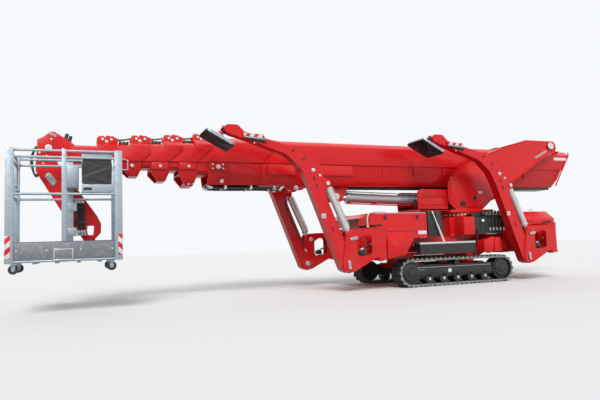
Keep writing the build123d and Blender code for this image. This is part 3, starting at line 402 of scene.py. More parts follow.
# Looks by material slot. The plainer ones give their colour, roughness, metal and coat, and then the
# stain, the sheen and the grain of worn()
LOOKS = {
    "red_paint": red_paint(),
    "black_paint": Look("black_satin_paint", (0.010, 0.010, 0.011), 0.42, coat=0.1)
    .worn((14, 7, 0.45, 0.85, 0.30, (0.05, 0.047, 0.044)), (7, 5, 0.32, 0.62), (320, 3, 0.08, 0.002))
    .material,
    "rubber": track_rubber(),
    "silver": Look("silver_cylinder_paint", (0.38, 0.42, 0.45), 0.34, 0.45, 0.3)
    .worn((6, 5, 0.45, 0.8, 0.3, (0.24, 0.27, 0.29)), (16, 5, 0.26, 0.46), (300, 2, 0.05, 0.002))
    .material,
    "galvanised": galvanised(),
    "grey_paint": grey_plate(),
    "engine_grey": Look("engine_iron", (0.11, 0.11, 0.12), 0.6, 0.4)
    .worn((18, 7, 0.4, 0.8, 0.6, (0.05, 0.04, 0.035)), (), (120, 5, 0.3, 0.003))
    .material,
    "nylon": Look("moulded_black_plastic", (0.022, 0.022, 0.024), 0.55)
    .worn((30, 5, 0.45, 0.8, 0.3, (0.07, 0.07, 0.072)), (25, 4, 0.45, 0.7), (500, 3, 0.2, 0.001))
    .material,
}
# Lighter copy of the silver cylinder paint. Its extra lightness is painted light, so that the leg
# barrels look more brightly lit. The lift cylinder's pipes and the basket's step frame also use it.
LIT_SILVER = (
    Look("silver_paint_lit_copy", (0.62, 0.64, 0.63), 0.30, 0.35, 0.3)
    .worn((8, 5, 0.45, 0.8, 0.3, (0.42, 0.44, 0.44)), (16, 5, 0.22, 0.42), (300, 2, 0.05, 0.002))
    .material
)
CHROME = Look("polished_chrome", (0.78, 0.79, 0.80), 0.12, 1.0).worn(sheen=(30, 3, 0.08, 0.20)).material
ZINC = (
    Look("zinc_bolt", (0.62, 0.61, 0.57), 0.32, 0.85)
    .worn((60, 4, 0.40, 0.75, 0.4, (0.36, 0.35, 0.31)), (80, 4, 0.25, 0.5))
    .material
)
TREAD = tread_aluminium()
FABRIC = cover_fabric()
HOSE = (
    Look("hose_rubber", (0.020, 0.020, 0.021), 0.45)
    .worn((40, 5, 0.45, 0.8, 0.3, (0.06, 0.058, 0.055)), (), (400, 2, 0.15, 0.001))
    .material
)
WHITE = (
    Look("blank_white_plate", (0.78, 0.78, 0.76), 0.42)
    .worn((25, 5, 0.5, 0.8, 0.25, (0.60, 0.58, 0.54)), (30, 3, 0.35, 0.5))
    .material
)
GREY = (
    Look("blank_grey_sticker", (0.42, 0.44, 0.45), 0.40)
    .worn((40, 5, 0.5, 0.8, 0.3, (0.30, 0.31, 0.31)), (30, 3, 0.32, 0.5))
    .material
)
TAPES = (post_tape("rear_post_tape", -0.9), post_tape("front_post_tape", 0.9))
BOARD = striped("red_white_board", (0.80, 0.80, 0.78), (0.66, 0.012, 0.018), (1.0, 0.0, 0.55), 0.112)
WORN_BOARD = (
    Look("worn_toe_board", (0.19, 0.21, 0.225), 0.50, 0.4)
    .worn((26, 8, 0.45, 0.75, 0.6, (0.34, 0.37, 0.39)), (30, 4, 0.40, 0.65), (80, 4, 0.10, 0.002))
    .material
)
LENS = red_lens()
RED = LOOKS["red_paint"]
BLACK = LOOKS["black_paint"]
ZINC_COAT = LOOKS["galvanised"]
PLASTIC = LOOKS["nylon"]
# Nodes that differ from the look of their material slot, by the start of their name
NODE_LOOKS = (
    # The leg barrels take the lighter copy of the silver paint, whose extra lightness is painted light
    ("leg_barrel", LIT_SILVER),
    ("leg_rod", CHROME),
    ("lift_rod", CHROME),
    ("foot_", ZINC_COAT),
)
# Boards on the legs: name, look, outline, then near y, far y and bevel
LEG_BOARDS = (
    (
        "leg_boards",
        RED,
        ((1.433, 2.066), (1.707, 2.082), (1.694, 2.020), (1.400, 1.972)),
        (0.735, 0.823, 0.003),
    ),
    (
        "striped_boards",
        BOARD,
        ((1.436, 2.062), (1.702, 2.077), (1.694, 2.040), (1.423, 2.016)),
        (0.8225, 0.8260, 0.001),
    ),
    (
        "board_strips",
        GREY,
        ((1.423, 2.016), (1.694, 2.040), (1.691, 2.024), (1.417, 2.000)),
        (0.8225, 0.8270, 0.001),
    ),
    (
        "board_feet",
        BLACK,
        ((1.417, 2.000), (1.691, 2.024), (1.690, 2.018), (1.402, 1.970)),
        (0.7350, 0.8265, 0.002),
    ),
)


def place(axis, u, v, depth):
    """Point of a drawing plane in space."""
    point = [0.0, 0.0, 0.0]
    for index, value in zip(PLANES[axis], (u, v, depth)):
        point[index] = value
    return Vector(point)


def at(spot, y):
    """Point of the side view at a distance from the middle of the machine."""
    return (spot[0], y, spot[1])


def rectangle(u_low, u_high, v_low, v_high):
    """Outline of a rectangle between its bounds in a drawing plane."""
    return [(u_low, v_low), (u_high, v_low), (u_high, v_high), (u_low, v_high)]


def strip(start, end, width):
    """Outline of a straight band between two points of a drawing plane."""
    start, end = Vector(start), Vector(end)
    side = (end - start).normalized().orthogonal() * width / 2
    return [tuple(start - side), tuple(end - side), tuple(end + side), tuple(start + side)]


def rounded(corners, radius, steps=5):
    """Outline with each corner eased over a radius."""
    outline = []
    for index, corner in enumerate(corners):
        here = Vector(corner)
        before = Vector(corners[index - 1]) - here
        after = Vector(corners[(index + 1) % len(corners)]) - here
        wanted = radius / math.tan(before.angle(after) / 2)
        reach = min(wanted, 0.49 * before.length, 0.49 * after.length)
        start = here + before.normalized() * reach
        end = here + after.normalized() * reach
        for step in range(steps + 1):
            t = step / steps
            outline.append(tuple((1 - t) ** 2 * start + 2 * t * (1 - t) * here + t * t * end))
    return outline


def circle(count):
    """Angles of points that are spaced evenly round a circle."""
    return [2 * math.pi * index / count for index in range(count)]


def smooth_line(points, steps):
    """Points along a smooth line through the given ones."""
    points = [Vector(point) for point in points]
    ends = [2 * points[0] - points[1], *points, 2 * points[-1] - points[-2]]
    line = []
    for index in range(1, len(ends) - 2):
        a, b, c, d = ends[index - 1 : index + 3]
        bend = 2 * a - 5 * b + 4 * c - d
        twist = 3 * b - a - 3 * c + d
        for step in range(steps):
            t = step / steps
            line.append(0.5 * (2 * b + (c - a) * t + bend * t**2 + twist * t**3))
    return [*line, points[-1]]


def ease_edges(mesh, offset):
    """Small bevels on every sharp edge."""
    bmesh.ops.recalc_face_normals(mesh, faces=mesh.faces)
    edges = [edge for edge in mesh.edges if edge.calc_face_angle(0) > SHARP_ANGLE]
    settings = {"segments": 2, "profile": 0.5, "affect": "EDGES", "clamp_overlap": True}
    bmesh.ops.bevel(mesh, geom=edges, offset=offset, **settings)


class Shape:
    """A mesh that is put together from slabs, turned pieces, bolts and tubes."""

    def __init__(self):
        self.mesh = bmesh.new()

    def skin(self, rings, loop=False):
        """Closed skin over a row of rings, with end caps or joined back to its start."""
        count = len(rings[0])
        pairs = list(zip(rings, rings[1:]))
        if loop:
            pairs.append((rings[-1], rings[0]))
        for low, high in pairs:
            for index in range(count):
                after = (index + 1) % count
                self.mesh.faces.new((low[index], low[after], high[after], high[index]))
        if not loop:
            self.mesh.faces.new(rings[0][::-1])
            self.mesh.faces.new(rings[-1])

    def loft(self, rings, loop=False):
        """Closed skin over rings of points."""
        self.skin([[self.mesh.verts.new(point) for point in ring] for ring in rings], loop)
        return self

    def eased(self, offset):
        """The same shape with small bevels on every sharp edge."""
        ease_edges(self.mesh, offset)
        return self

    def slab(self, outline, near, far, axis="Y", bevel=0.002, hole=()):
        """Plate between two depths along an axis, with eased edges and perhaps a hole."""
        part = bmesh.new()
        loops = [loop for loop in (outline, hole) if loop]
        low = [[part.verts.new(place(axis, u, v, near)) for u, v in loop] for loop in loops]
        high = [[part.verts.new(place(axis, u, v, far)) for u, v in loop] for loop in loops]
        for lower, upper in zip(low, high):
            for index in range(len(lower)):
                after = (index + 1) % len(lower)
                part.faces.new((lower[index], upper[index], upper[after], lower[after]))
        if hole:
            flat = [[Vector((u, v, 0.0)) for u, v in loop] for loop in loops]
            low, high = sum(low, []), sum(high, [])
            for triangle in tessellate_polygon(flat):
                part.faces.new([low[index] for index in triangle])
                part.faces.new([high[index] for index in triangle[::-1]])
        else:
            part.faces.new(low[0])
            part.faces.new(high[0][::-1])
        if bevel:
            ease_edges(part, bevel)
        data = bpy.data.meshes.new("part")
        part.to_mesh(data)
        part.free()
        self.mesh.from_mesh(data)
        bpy.data.meshes.remove(data)
        return self

    def box(self, bounds, near, far, ease=0.0, bevel=0.002, axis="Y", steps=5):
        """Plate over a rectangle, with its corners eased over a radius if one is given."""
        outline = rectangle(*bounds)
        if ease:
            outline = rounded(outline, ease, steps)
        return self.slab(outline, near, far, axis, bevel)

    def bands(self, ends, width, near, far, bevel):
        """Straight bands of one width, each between two points of the side view."""
        for start, end in ends:
            self.slab(strip(start, end, width), near, far, bevel=bevel)
        return self

    def lathe(self, profile, start, direction=OUT, segments=20):
        """Turned piece: pairs of distance and radius along a direction."""
        quarter = Vector(direction).to_track_quat("Z", "Y").to_matrix().to_4x4()
        turn = Matrix.Translation(start) @ quarter
        rings = []
        for distance, radius in profile:
            ring = []
            for angle in circle(segments):
                point = Vector((radius * math.cos(angle), radius * math.sin(angle), distance))
                ring.append(self.mesh.verts.new(turn @ point))
            rings.append(ring)
        self.skin(rings)
        return self

    def pin(self, start, radius, length, segments=20):
        """Plain round pin across the machine."""
        return self.lathe(((0.0, radius), (length, radius)), start, OUT, segments)

    def bolt(self, start, radius, direction=OUT):
        """Hexagon bolt head on a washer."""
        rim = 1.45 * radius
        washer = ((0.0, rim), (0.2 * radius, rim), (0.3 * radius, 1.3 * radius))
        self.lathe(washer, start, direction, 16)
        side = 1.08 * radius
        head = ((0.28 * radius, side), (0.85 * radius, side), (1.0 * radius, 0.9 * radius))
        self.lathe(head, start, direction, 6)
        return self

    def bolts(self, places, y, radius):
        """Bolts on a side of the machine, at places of the side view."""
        for x, z in places:
            self.bolt((x, y, z), radius)
        return self

    def cap(self, start, radius, height, direction=OUT):
        """Turned end cap with an eased rim and a small centre."""
        profile = (
            (0.0, radius),
            (0.7 * height, radius),
            (0.92 * height, 0.93 * radius),
            (height, 0.80 * radius),
            (height, 0.32 * radius),
            (0.8 * height, 0.28 * radius),
        )
        return self.lathe(profile, start, direction)

    def tube(self, points, radius, segments=10, steps=5):
        """Round bar or hose along a smooth line through points."""
        line = smooth_line(points, steps) if steps > 1 else [Vector(point) for point in points]
        normal = None
        rings = []
        for index, centre in enumerate(line):
            ahead = (line[min(index + 1, len(line) - 1)] - line[max(index - 1, 0)]).normalized()
            normal = ahead.orthogonal() if normal is None else normal - ahead * normal.dot(ahead)
            normal.normalize()
            side = ahead.cross(normal)
            ring = []
            for angle in circle(segments):
                spoke = math.cos(angle) * normal + math.sin(angle) * side
                ring.append(self.mesh.verts.new(centre + radius * spoke))
            rings.append(ring)
        self.skin(rings)
        return self

    def mirrored(self):
        """The same again on the other side of the machine."""
        geometry = [*self.mesh.verts, *self.mesh.edges, *self.mesh.faces]
        for item in bmesh.ops.duplicate(self.mesh, geom=geometry)["geom"]:
            if isinstance(item, bmesh.types.BMVert):
                item.co.y = -item.co.y
        return self

    def piece(self, name, look, body="chassis", corner=None):
        """Finished piece that rides on a body, moved to a corner of the machine if one is given."""
        if corner:
            for vertex in self.mesh.verts:
                vertex.co = Vector((vertex.co.x + corner[1], vertex.co.y * corner[2], vertex.co.z))
        bmesh.ops.recalc_face_normals(self.mesh, faces=self.mesh.faces)
        data = bpy.data.meshes.new(name)
        self.mesh.to_mesh(data)
        self.mesh.free()
        data.materials.append(look)
        data.shade_smooth()
        data.set_sharp_from_angle(angle=SHARP_ANGLE)
        piece = bpy.data.objects.new(name, data)
        bpy.context.scene.collection.objects.link(piece)
        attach(piece, body)
        return piece

    def pair(self, name, look, body="chassis"):
        """Finished piece with its like on the other side of the machine."""
        return self.mirrored().piece(name, look, body)

    def corner_piece(self, stem, look, kind, corner):
        """Finished piece at a corner of the machine, on that corner's body of a kind."""
        return self.piece(f"{stem}_{corner[0]}", look, f"{kind}_{corner[0]}", corner)


def hose(name, points, radius, body="chassis", corner=None):
    """Hydraulic hose between two crimped fittings."""
    Shape().tube(points, radius).piece(name, HOSE, body, corner)
    fittings = Shape()
    line = smooth_line(points, 6)
    crimp = [(share * radius, width * radius) for share, width in HOSE_CRIMP]
    nut = [(share * radius, width * radius) for share, width in HOSE_NUT]
    for end, after in ((line[0], line[2]), (line[-1], line[-3])):
        fittings.lathe(crimp, end, after - end, 14)
        fittings.lathe(nut, end, after - end, 6)
    fittings.piece(f"{name}_fittings", ZINC, body, corner)


def dress_nodes():
    """Gives every node of the frame the look of its material slot, or of its own kind."""
    for part in frame["record"]["subparts"]:
        node = frame["nodes"][part["node"]]
        look = LOOKS[part["material_slot"]]
        for stem, own in NODE_LOOKS:
            if part["node"].startswith(stem):
                look = own
        node.data.materials.clear()
        node.data.materials.append(look)


def boom_outline(half_width, bottom, top, hip_share, setback):
    """Cross-section of a boom profile: slanted upper sides, a side ledge and a tapered underside."""
    height = top - bottom
    lower = half_width - BOOM_LEDGE_DEPTH
    corners = [(0.62 * half_width, top), (half_width, top - 0.115 * height)]
    if setback:
        corners.append((half_width, BOOM_LEDGE_Z + MOUTH_SLOPE * setback))
    corners += [
        (half_width, BOOM_LEDGE_Z), (lower, BOOM_LEDGE_Z - 0.001),
        (lower, bottom + hip_share * height), (0.66 * half_width, bottom),
    ]
    return corners + [(-y, z) for y, z in reversed(corners)]


def mouth_x(z, front_x, setback):
    """Front edge of a boom profile at a height: upright below the ledge, slanted back above it."""
    rise = max(MOUTH_SLOPE * setback, 0.001)
    return front_x - setback * min(max((z - BOOM_LEDGE_Z) / rise, 0.0), 1.0)


def boom_shell(number, half_width, bottom, top, rear_x, front_x, setback):
    """Hollow length of the boom, with a slanted mouth."""
    share = COLLAR_HIP_SHARE if number == 0 else 0.12
    outer = boom_outline(half_width, bottom, top, share, setback)
    inside = (half_width - BOOM_WALL, bottom + BOOM_WALL, top - BOOM_WALL)
    inner = boom_outline(*inside, share, setback)
    tail = [(rear_x, y, z) for y, z in outer]
    if number == 0:
        slope = BOOM_TAIL_LENGTH / (top - 0.05 - bottom)
        tail = [(rear_x + slope * max(top - 0.06 - z, 0.0), y, z) for y, z in outer]
    rings = [
        tail,
        [(mouth_x(z, front_x, setback), y, z) for y, z in outer],
        [(mouth_x(z, front_x, setback), y, z) for y, z in inner],
        [(front_x - setback - 0.60, y, z) for y, z in inner],
    ]
    if number == TIP_SECTION:
        rings = rings[:2]
    return Shape().loft(rings)


def boom_collar(front_x, length, setback, chin, half_width, bottom, top):
    """Band round a mouth, slanted like it, with a cut chin below."""
    share = COLLAR_HIP_SHARE
    wide = boom_outline(half_width + 0.016, bottom, top + 0.008, share, setback)
    hip = bottom + share * (top + 0.008 - bottom)
    narrow = boom_outline(half_width - 0.004, max(bottom, 1.50) + 0.004, top - 0.004, share, setback)

    def edge(z, cut):
        return mouth_x(z, front_x, setback) - cut * min(max((hip - z) / (hip - bottom), 0.0), 1.0)

    rings = [
        [(edge(z, -chin / 2) - length, y, z) for y, z in wide],
        [(edge(z, chin), y, z) for y, z in wide],
        [(edge(z, chin) - 0.0005, y, z) for y, z in narrow],
        [(edge(z, -chin / 2) - length + 0.0005, y, z) for y, z in narrow],
    ]
    return Shape().loft(rings, loop=True)


def boom_forms():
    """Boom, sliding sections and tip, standing for their plainer nodes on the same joints."""
    for number, (top, bottom, collar_bottom, rear_x, front_x, setback) in enumerate(BOOM_PROFILES):
        half_width = BOOM_HALF_WIDTH - number * SECTION_STEP_WIDTH
        body = f"section_{number}" if number else "boom"
        node = f"boom_section_{number}" if number else "boom_main"
        shell = boom_shell(number, half_width, bottom, top, rear_x, front_x, setback)
        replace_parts(shell.eased(0.003).piece(f"boom_box_{number}", RED, body), node)
        if number < TIP_SECTION:
            length, chin = (0.230, 0.085) if number else (0.735, 0.0)
            collar = boom_collar(front_x, length, setback, chin, half_width, collar_bottom, top)
            collar.eased(0.003).piece(f"boom_collar_{number}", RED, body)
            low = half_width - SECTION_STEP_WIDTH + 0.0006
            x = front_x - setback
            bounds = (x - 0.140, x - 0.010, BOOM_LEDGE_Z + 0.005, BOOM_LEDGE_Z + 0.095)
            Shape().box(bounds, low, low + 0.0172).pair(f"boom_pads_{number}", PLASTIC, body)
        if number <= LAST_WEAR_BOX:
            bounds = (front_x - 0.216, front_x - 0.008, BOOM_LEDGE_Z - 0.106, BOOM_LEDGE_Z - 0.016)
            boxes = Shape().box(bounds, half_width - 0.030, half_width + 0.020, bevel=0.004)
            boxes.pair(f"wear_boxes_{number}", RED, body)


def guide_head_forms():
    """Cheeks and rope wheels on the heads of the sliding sections."""
    for number, rear_x, front_x, foot_z in GUIDE_HEADS:
        body = f"section_{number}"
        outline = [
            (rear_x, foot_z - 0.004), (front_x, foot_z - 0.004), (front_x, foot_z + 0.088),
            (front_x - 0.1275, foot_z + 0.112), (rear_x, foot_z + 0.078),
        ]
        head = Shape().slab(rounded(outline, 0.03), 0.084, 0.098).mirrored()
        head.box((rear_x + 0.008, rear_x + 0.020, foot_z - 0.001, foot_z + 0.05), -0.097, 0.097)
        head.piece(f"guide_head_{number}", RED, body)
        wheels = Shape()
        for x in (rear_x + WHEEL_INSET[0], front_x - WHEEL_INSET[1]):
            wheels.pin((x, -0.106, foot_z + WHEEL_RISE), 0.013, 0.212)
            wheels.lathe(ROPE_WHEEL, (x, -0.078, foot_z + WHEEL_RISE), OUT, 24)
        wheels.piece(f"rope_wheels_{number}", BLACK, body)


def boom_fittings():
    """Lugs, pins and tray of the boom, and the cheeks at its tip."""
    lugs = Shape()
    pivot = [(-4.05, 2.065), (-3.49, 2.065), (-3.74, 2.258), (-3.90, 2.258)]
    lugs.slab(rounded(pivot, 0.02), 0.205, 0.265)
    lift = [(-0.120, 1.493), (0.290, 1.493), (0.185, 1.268), (0.015, 1.268)]
    lugs.slab(rounded(lift, 0.03), 0.0553, 0.0803)
    rest = [(0.560, 1.493), (0.960, 1.493), (0.870, 1.430), (0.670, 1.430)]
    lugs.slab(rounded(rest, 0.02), 0.130, 0.155)
    lugs.pair("boom_lugs", RED, "boom")
    pins = Shape().pin(at(BOOM_REST_PIN, -0.165), 0.022, 0.330)
    pins.pin(at(BOOM_PIN, -0.3297), 0.058, 0.6594, 28)
    pins.pin(at(LIFT_PINS[1], -0.100), 0.039, 0.200, 28)
    pins.piece("boom_pins", ZINC, "boom")
    tray = Shape().box((-0.160, 0.160, 1.456, 1.494), -3.94, -3.07, 0.012, axis="X")
    tray.piece("boom_tray", BLACK, "boom")
    outline = rounded(HEAD_OUTLINE, 0.02)
    cheeks = Shape().slab(outline, 0.0553, HEAD_SIDE_Y, bevel=0.003).mirrored()
    web = [
        (3.655, 1.775), (3.655, 1.985), (3.72, 2.035), (3.76, 2.030), (3.72, 1.985), (3.72, 1.800),
    ]
    cheeks.slab(web, -0.0555, 0.0555)
    cheeks.piece("jib_head_cheeks", RED, "section_5")
    Shape().pin(at(JIB_TOP, -0.0833), 0.028, 0.1666, 24).piece("jib_head_pin", ZINC, "section_5")


def jib_form():
    """Cranked jib arm with its window."""
    window = rounded(JIB_WINDOW, 0.018)
    outline = rounded(JIB_OUTLINE, 0.02)
    arm = Shape().slab(outline, -JIB_SIDE_Y, JIB_SIDE_Y, bevel=0.003, hole=window)
    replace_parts(arm.piece("cranked_jib_arm", RED, "jib"), "jib_arm")


def chassis_forms():
    """Rear box with slanted upper sides, wedge housings beside the girder, and the front trough."""
    rings = []
    for x, low in ((-3.700, 0.530), (-3.510, 0.484), (-2.620, 0.484)):
        half = [(0.450, low), (0.450, 0.955), (0.300, 1.075)]
        rings.append([(x, y, z) for y, z in half] + [(x, -y, z) for y, z in reversed(half)])
    rear = Shape().loft(rings).eased(0.006).piece("slanted_rear_box", RED, "chassis")
    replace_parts(rear, "rear_box")
    housings = Shape()
    front = [(-0.319, 0.700), (-0.751, 0.700), (-0.590, 0.459), (-0.319, 0.420)]
    housings.slab(front, 0.295, 0.800, bevel=0.006)
    back = [(-2.110, 0.624), (-2.295, 0.684), (-2.410, 0.599), (-2.275, 0.444), (-2.110, 0.450)]
    housings.slab(back, 0.295, 0.610, bevel=0.006)
    housings.pair("wedge_housings", RED)
    trough = Shape().box((-1.720, -1.175, -0.300, 0.300), 1.105, 1.135, axis="Z")
    side = [
        (-1.720, 1.115), (-1.195, 1.115), (-1.175, 1.155), (-1.175, 1.400), (-1.225, 1.440),
        (-1.720, 1.440),
    ]
    trough.slab(side, 0.280, 0.300).slab(side, -0.300, -0.280)
    trough.piece("turret_trough", RED)


def basket_forms():
    """Posts, mount column, rails and toe boards of the basket."""
    near_y, far_y = BASKET_POST_YS
    turn_x, turn_y = TURN_AXIS
    posts = Shape()
    for x in BASKET_POST_XS:
        for y in BASKET_POST_YS:
            posts.box((x - 0.041, x + 0.041, 0.558, 1.783), y - 0.020, y + 0.0194)
    for low, high, proud in ((0.780, 1.783, 0.0194), (0.558, 0.785, 0.006)):
        bounds = (MID_POST_X - 0.023, MID_POST_X + 0.023, low, high)
        posts.box(bounds, near_y - 0.020, near_y + proud)
    posts.box((turn_x - 0.065, turn_x + 0.065, 0.558, 1.745), far_y - 0.020, far_y + 0.020)
    plate = (turn_x - 0.055, turn_x + 0.055, turn_y - 0.055, 0.226)
    for low in (0.5947, 0.7403):
        posts.box(plate, low, low + 0.025, 0.05, axis="Z")
    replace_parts(posts.piece("basket_posts", ZINC_COAT, "basket"), "basket_frame")
    rail = {"radius": 0.014, "segments": 14, "steps": 1}
    rails = Shape()
    for z in (0.576, *RAIL_ZS):
        for y, start, end in SIDE_SPANS:
            if z < 1.7 or y > 0.5:
                rails.tube([(start - 0.001, y, z), (end + 0.001, y, z)], **rail)
        for x in BASKET_POST_XS:
            rails.tube([(x, 0.264, z), (x, 0.911, z)], **rail)
    rails.tube([(3.246, far_y, RAIL_ZS[2]), (4.259, far_y, RAIL_ZS[2])], **rail)
    handle = [
        (3.166, near_y, 1.690), (3.104, near_y, 1.674), (3.104, near_y, 1.570),
        (3.166, near_y, 1.570),
    ]
    rails.tube(handle, 0.0085, 10, 1)
    rails.piece("basket_rails", ZINC_COAT, "basket")
    boards = Shape().box((*BOARD_XS, *BOARD_ZS), near_y + 0.005, near_y + 0.011, bevel=0.001)
    boards.box((*BOARD_XS, 0.774, BOARD_ZS[1]), near_y - 0.008, near_y + 0.011)
    for y, start, end in SIDE_SPANS[:2]:
        boards.box((start, end, *BOARD_ZS), y - 0.003, y + 0.003, bevel=0.001)
    for x in BASKET_POST_XS:
        boards.box((0.264, 0.911, *BOARD_ZS), x - 0.003, x + 0.003, bevel=0.001, axis="X")
    boards.piece("toe_boards", WORN_BOARD, "basket")
    mounts = Shape()
    for x in CASTOR_XS[::-1]:
        for y in CASTOR_YS[::-1]:
            mounts.box((x - 0.040, x + 0.040, y - 0.040, y + 0.040), 0.5575, 0.5640, axis="Z")
    mounts.piece("castor_mounts", ZINC_COAT, "basket")


def track_details():
    """Roller caps, wheel hubs with bolts and lugs, covers and ledges on the track frames."""
    caps = Shape()
    for index in range(5):
        caps.cap((-1.535 + (index - 2) * 0.245, TRACK_FRAME_Y - 0.001, 0.106), 0.021, 0.012)
    caps.pair("roller_grease_caps", ZINC)
    hubs = Shape()
    bolts = Shape()
    teeth = Shape()
    for x in TRACK_WHEEL_XS:
        hubs.lathe(TRACK_HUB, (x, TRACK_FRAME_Y + 0.004, TRACK_WHEEL_Z), OUT, 28)
        for index in range(8):
            angle = math.pi / 8 + index * math.pi / 4
            spot = (x + 0.088 * math.cos(angle), TRACK_WHEEL_Z + 0.088 * math.sin(angle))
            bolts.bolt(at(spot, TRACK_FRAME_Y + 0.022), 0.009)
        for index in range(18):
            angle = 2 * math.pi * (index + 0.5) / 18
            cos, sin = math.cos(angle), math.sin(angle)
            outline = [
                (x + u * cos - v * sin, TRACK_WHEEL_Z + u * sin + v * cos) for u, v in TRACK_TOOTH
            ]
            teeth.slab(outline, 0.686, 0.694, bevel=0.0015)
    hubs.pair("track_wheel_hubs", BLACK)
    bolts.pair("track_hub_bolts", BLACK)
    frame_side = [
        (-2.16, 0.145), (-0.90, 0.145), (-0.86, 0.20), (-0.92, 0.262), (-2.12, 0.262),
        (-2.20, 0.20),
    ]
    covers = Shape().slab(rounded(frame_side, 0.03), 0.664, 0.680, bevel=0.004)
    covers.pair("track_side_covers", BLACK)
    ledge = Shape().box((-2.13, -0.70, 0.266, 0.274), 0.664, 0.700, bevel=0.003)
    ledge.box((-0.96, -0.70, 0.236, 0.243), 0.664, 0.694, bevel=0.003)
    ledge.pair("track_ledges", GREY)
    plate = Shape().box((-1.43, -1.372, 0.185, 0.238), 0.679, 0.684, 0.008)
    plate.pair("blank_track_plates", WHITE)
    teeth.pair("track_wheel_lugs", BLACK)


def step_details():
    """Tread plates, pale nosings and bottom lips of the step boxes."""
    tread = Shape().box((-1.835, -0.885, 0.540, 0.700), 0.6215, 0.6265, bevel=0.0015, axis="Z")
    tread.pair("step_treads", TREAD)
    nosing = Shape().box((-1.845, -0.875, 0.602, 0.630), 0.7335, 0.7400)
    nosing.box((-1.845, -0.875, 0.700, 0.740), 0.6215, 0.6295, axis="Z")
    nosing.pair("step_nosings", WHITE)
    lip = Shape().box((-1.842, -0.878, 0.463, 0.480), 0.7300, 0.7400, bevel=0.003)
    lip.pair("step_bottom_lips", BLACK)


def bonnet_details():
    """Seams, trim, latches, grab rail, plates and louvres of the front bonnet, and its gas strut."""
    top_z, rear_x, front_x = 1.0700, -1.100, -0.170
    seam_x, seam_z = rear_x + 0.03, 0.800
    seams = (((seam_x, seam_z), (front_x - 0.02, seam_z)), ((seam_x, seam_z), (seam_x, 1.030)))
    seam = Shape().bands(seams, 0.007, 0.5985, 0.6020, 0.0012)
    seam.pair("bonnet_seams", BLACK)
    trim = [(rear_x, 0.585, 1.060), (-0.70, 0.585, 1.0605), (front_x - 0.09, 0.585, 1.060)]
    Shape().tube(trim, 0.007, 8).pair("bonnet_trim", GREY)
    latches = Shape()
    for x in (-0.408, -0.940):
        latches.box((x - 0.016, x + 0.016, 0.972, 1.032), 0.599, 0.612, 0.008, steps=3)
        handle = strip((x, 1.026), (x + 0.018, 0.980), 0.014)
        latches.slab(rounded(handle, 0.004, 3), 0.611, 0.620)
    latches.pair("bonnet_latches", PLASTIC)
    line = (
        (-0.150, 0.882), (-0.144, 0.960), (-0.152, 1.025), (-0.190, 1.068), (-0.290, 1.082),
        (-0.420, 1.082), (-0.455, 1.066),
    )
    rail = Shape().tube([at(spot, 0.560) for spot in line], 0.0095)
    rail.cap((-0.148, 0.560, 0.870), 0.020, 0.014, UP)
    rail.pair("bonnet_grab_rails", WHITE)
    plate = Shape().box((-1.088, -0.945, 0.748, 0.800), 0.5990, 0.6025, 0.008)
    plate.pair("blank_bonnet_plates", WHITE)
    louvres = Shape()
    for index in range(9):
        z = 0.880 + index * 0.016
        blade = [(-0.176, z), (-0.158, z - 0.006), (-0.158, z - 0.002), (-0.176, z + 0.006)]
        louvres.slab(blade, -0.24, 0.24, bevel=0.0008)
    for index in range(7):
        x = -0.86 + index * 0.036
        bounds = (x, x + 0.020, -0.20, 0.20)
        louvres.box(bounds, top_z - 0.001, top_z + 0.004, 0.008, 0.0015, "Z", 3)
    louvres.piece("bonnet_louvres", BLACK)
    strut = Shape().tube([(-1.200, STAY_Y, 1.060), (-1.290, STAY_Y, 0.850)], 0.010, 12, 1)
    strut.cap((-1.197, 0.606, 1.067), 0.014, 0.014)
    strut.cap((-1.379, 0.606, 0.632), 0.014, 0.014)
    strut.piece("stay_rod", CHROME)
    sleeve = Shape().tube([(-1.270, STAY_Y, 0.896), (-1.376, STAY_Y, 0.640)], 0.015, 12, 1)
    sleeve.piece("stay_tube", WHITE)
    panel = [(-1.130, 0.722), (-1.400, 0.722), (-1.360, 1.085), (-1.130, 1.085)]
    Shape().slab(panel, 0.34, 0.585, bevel=0.006).piece("stay_box_left", BLACK)
    Shape().slab(panel, -0.585, -0.34, bevel=0.006).piece("stay_box_right", BLACK)


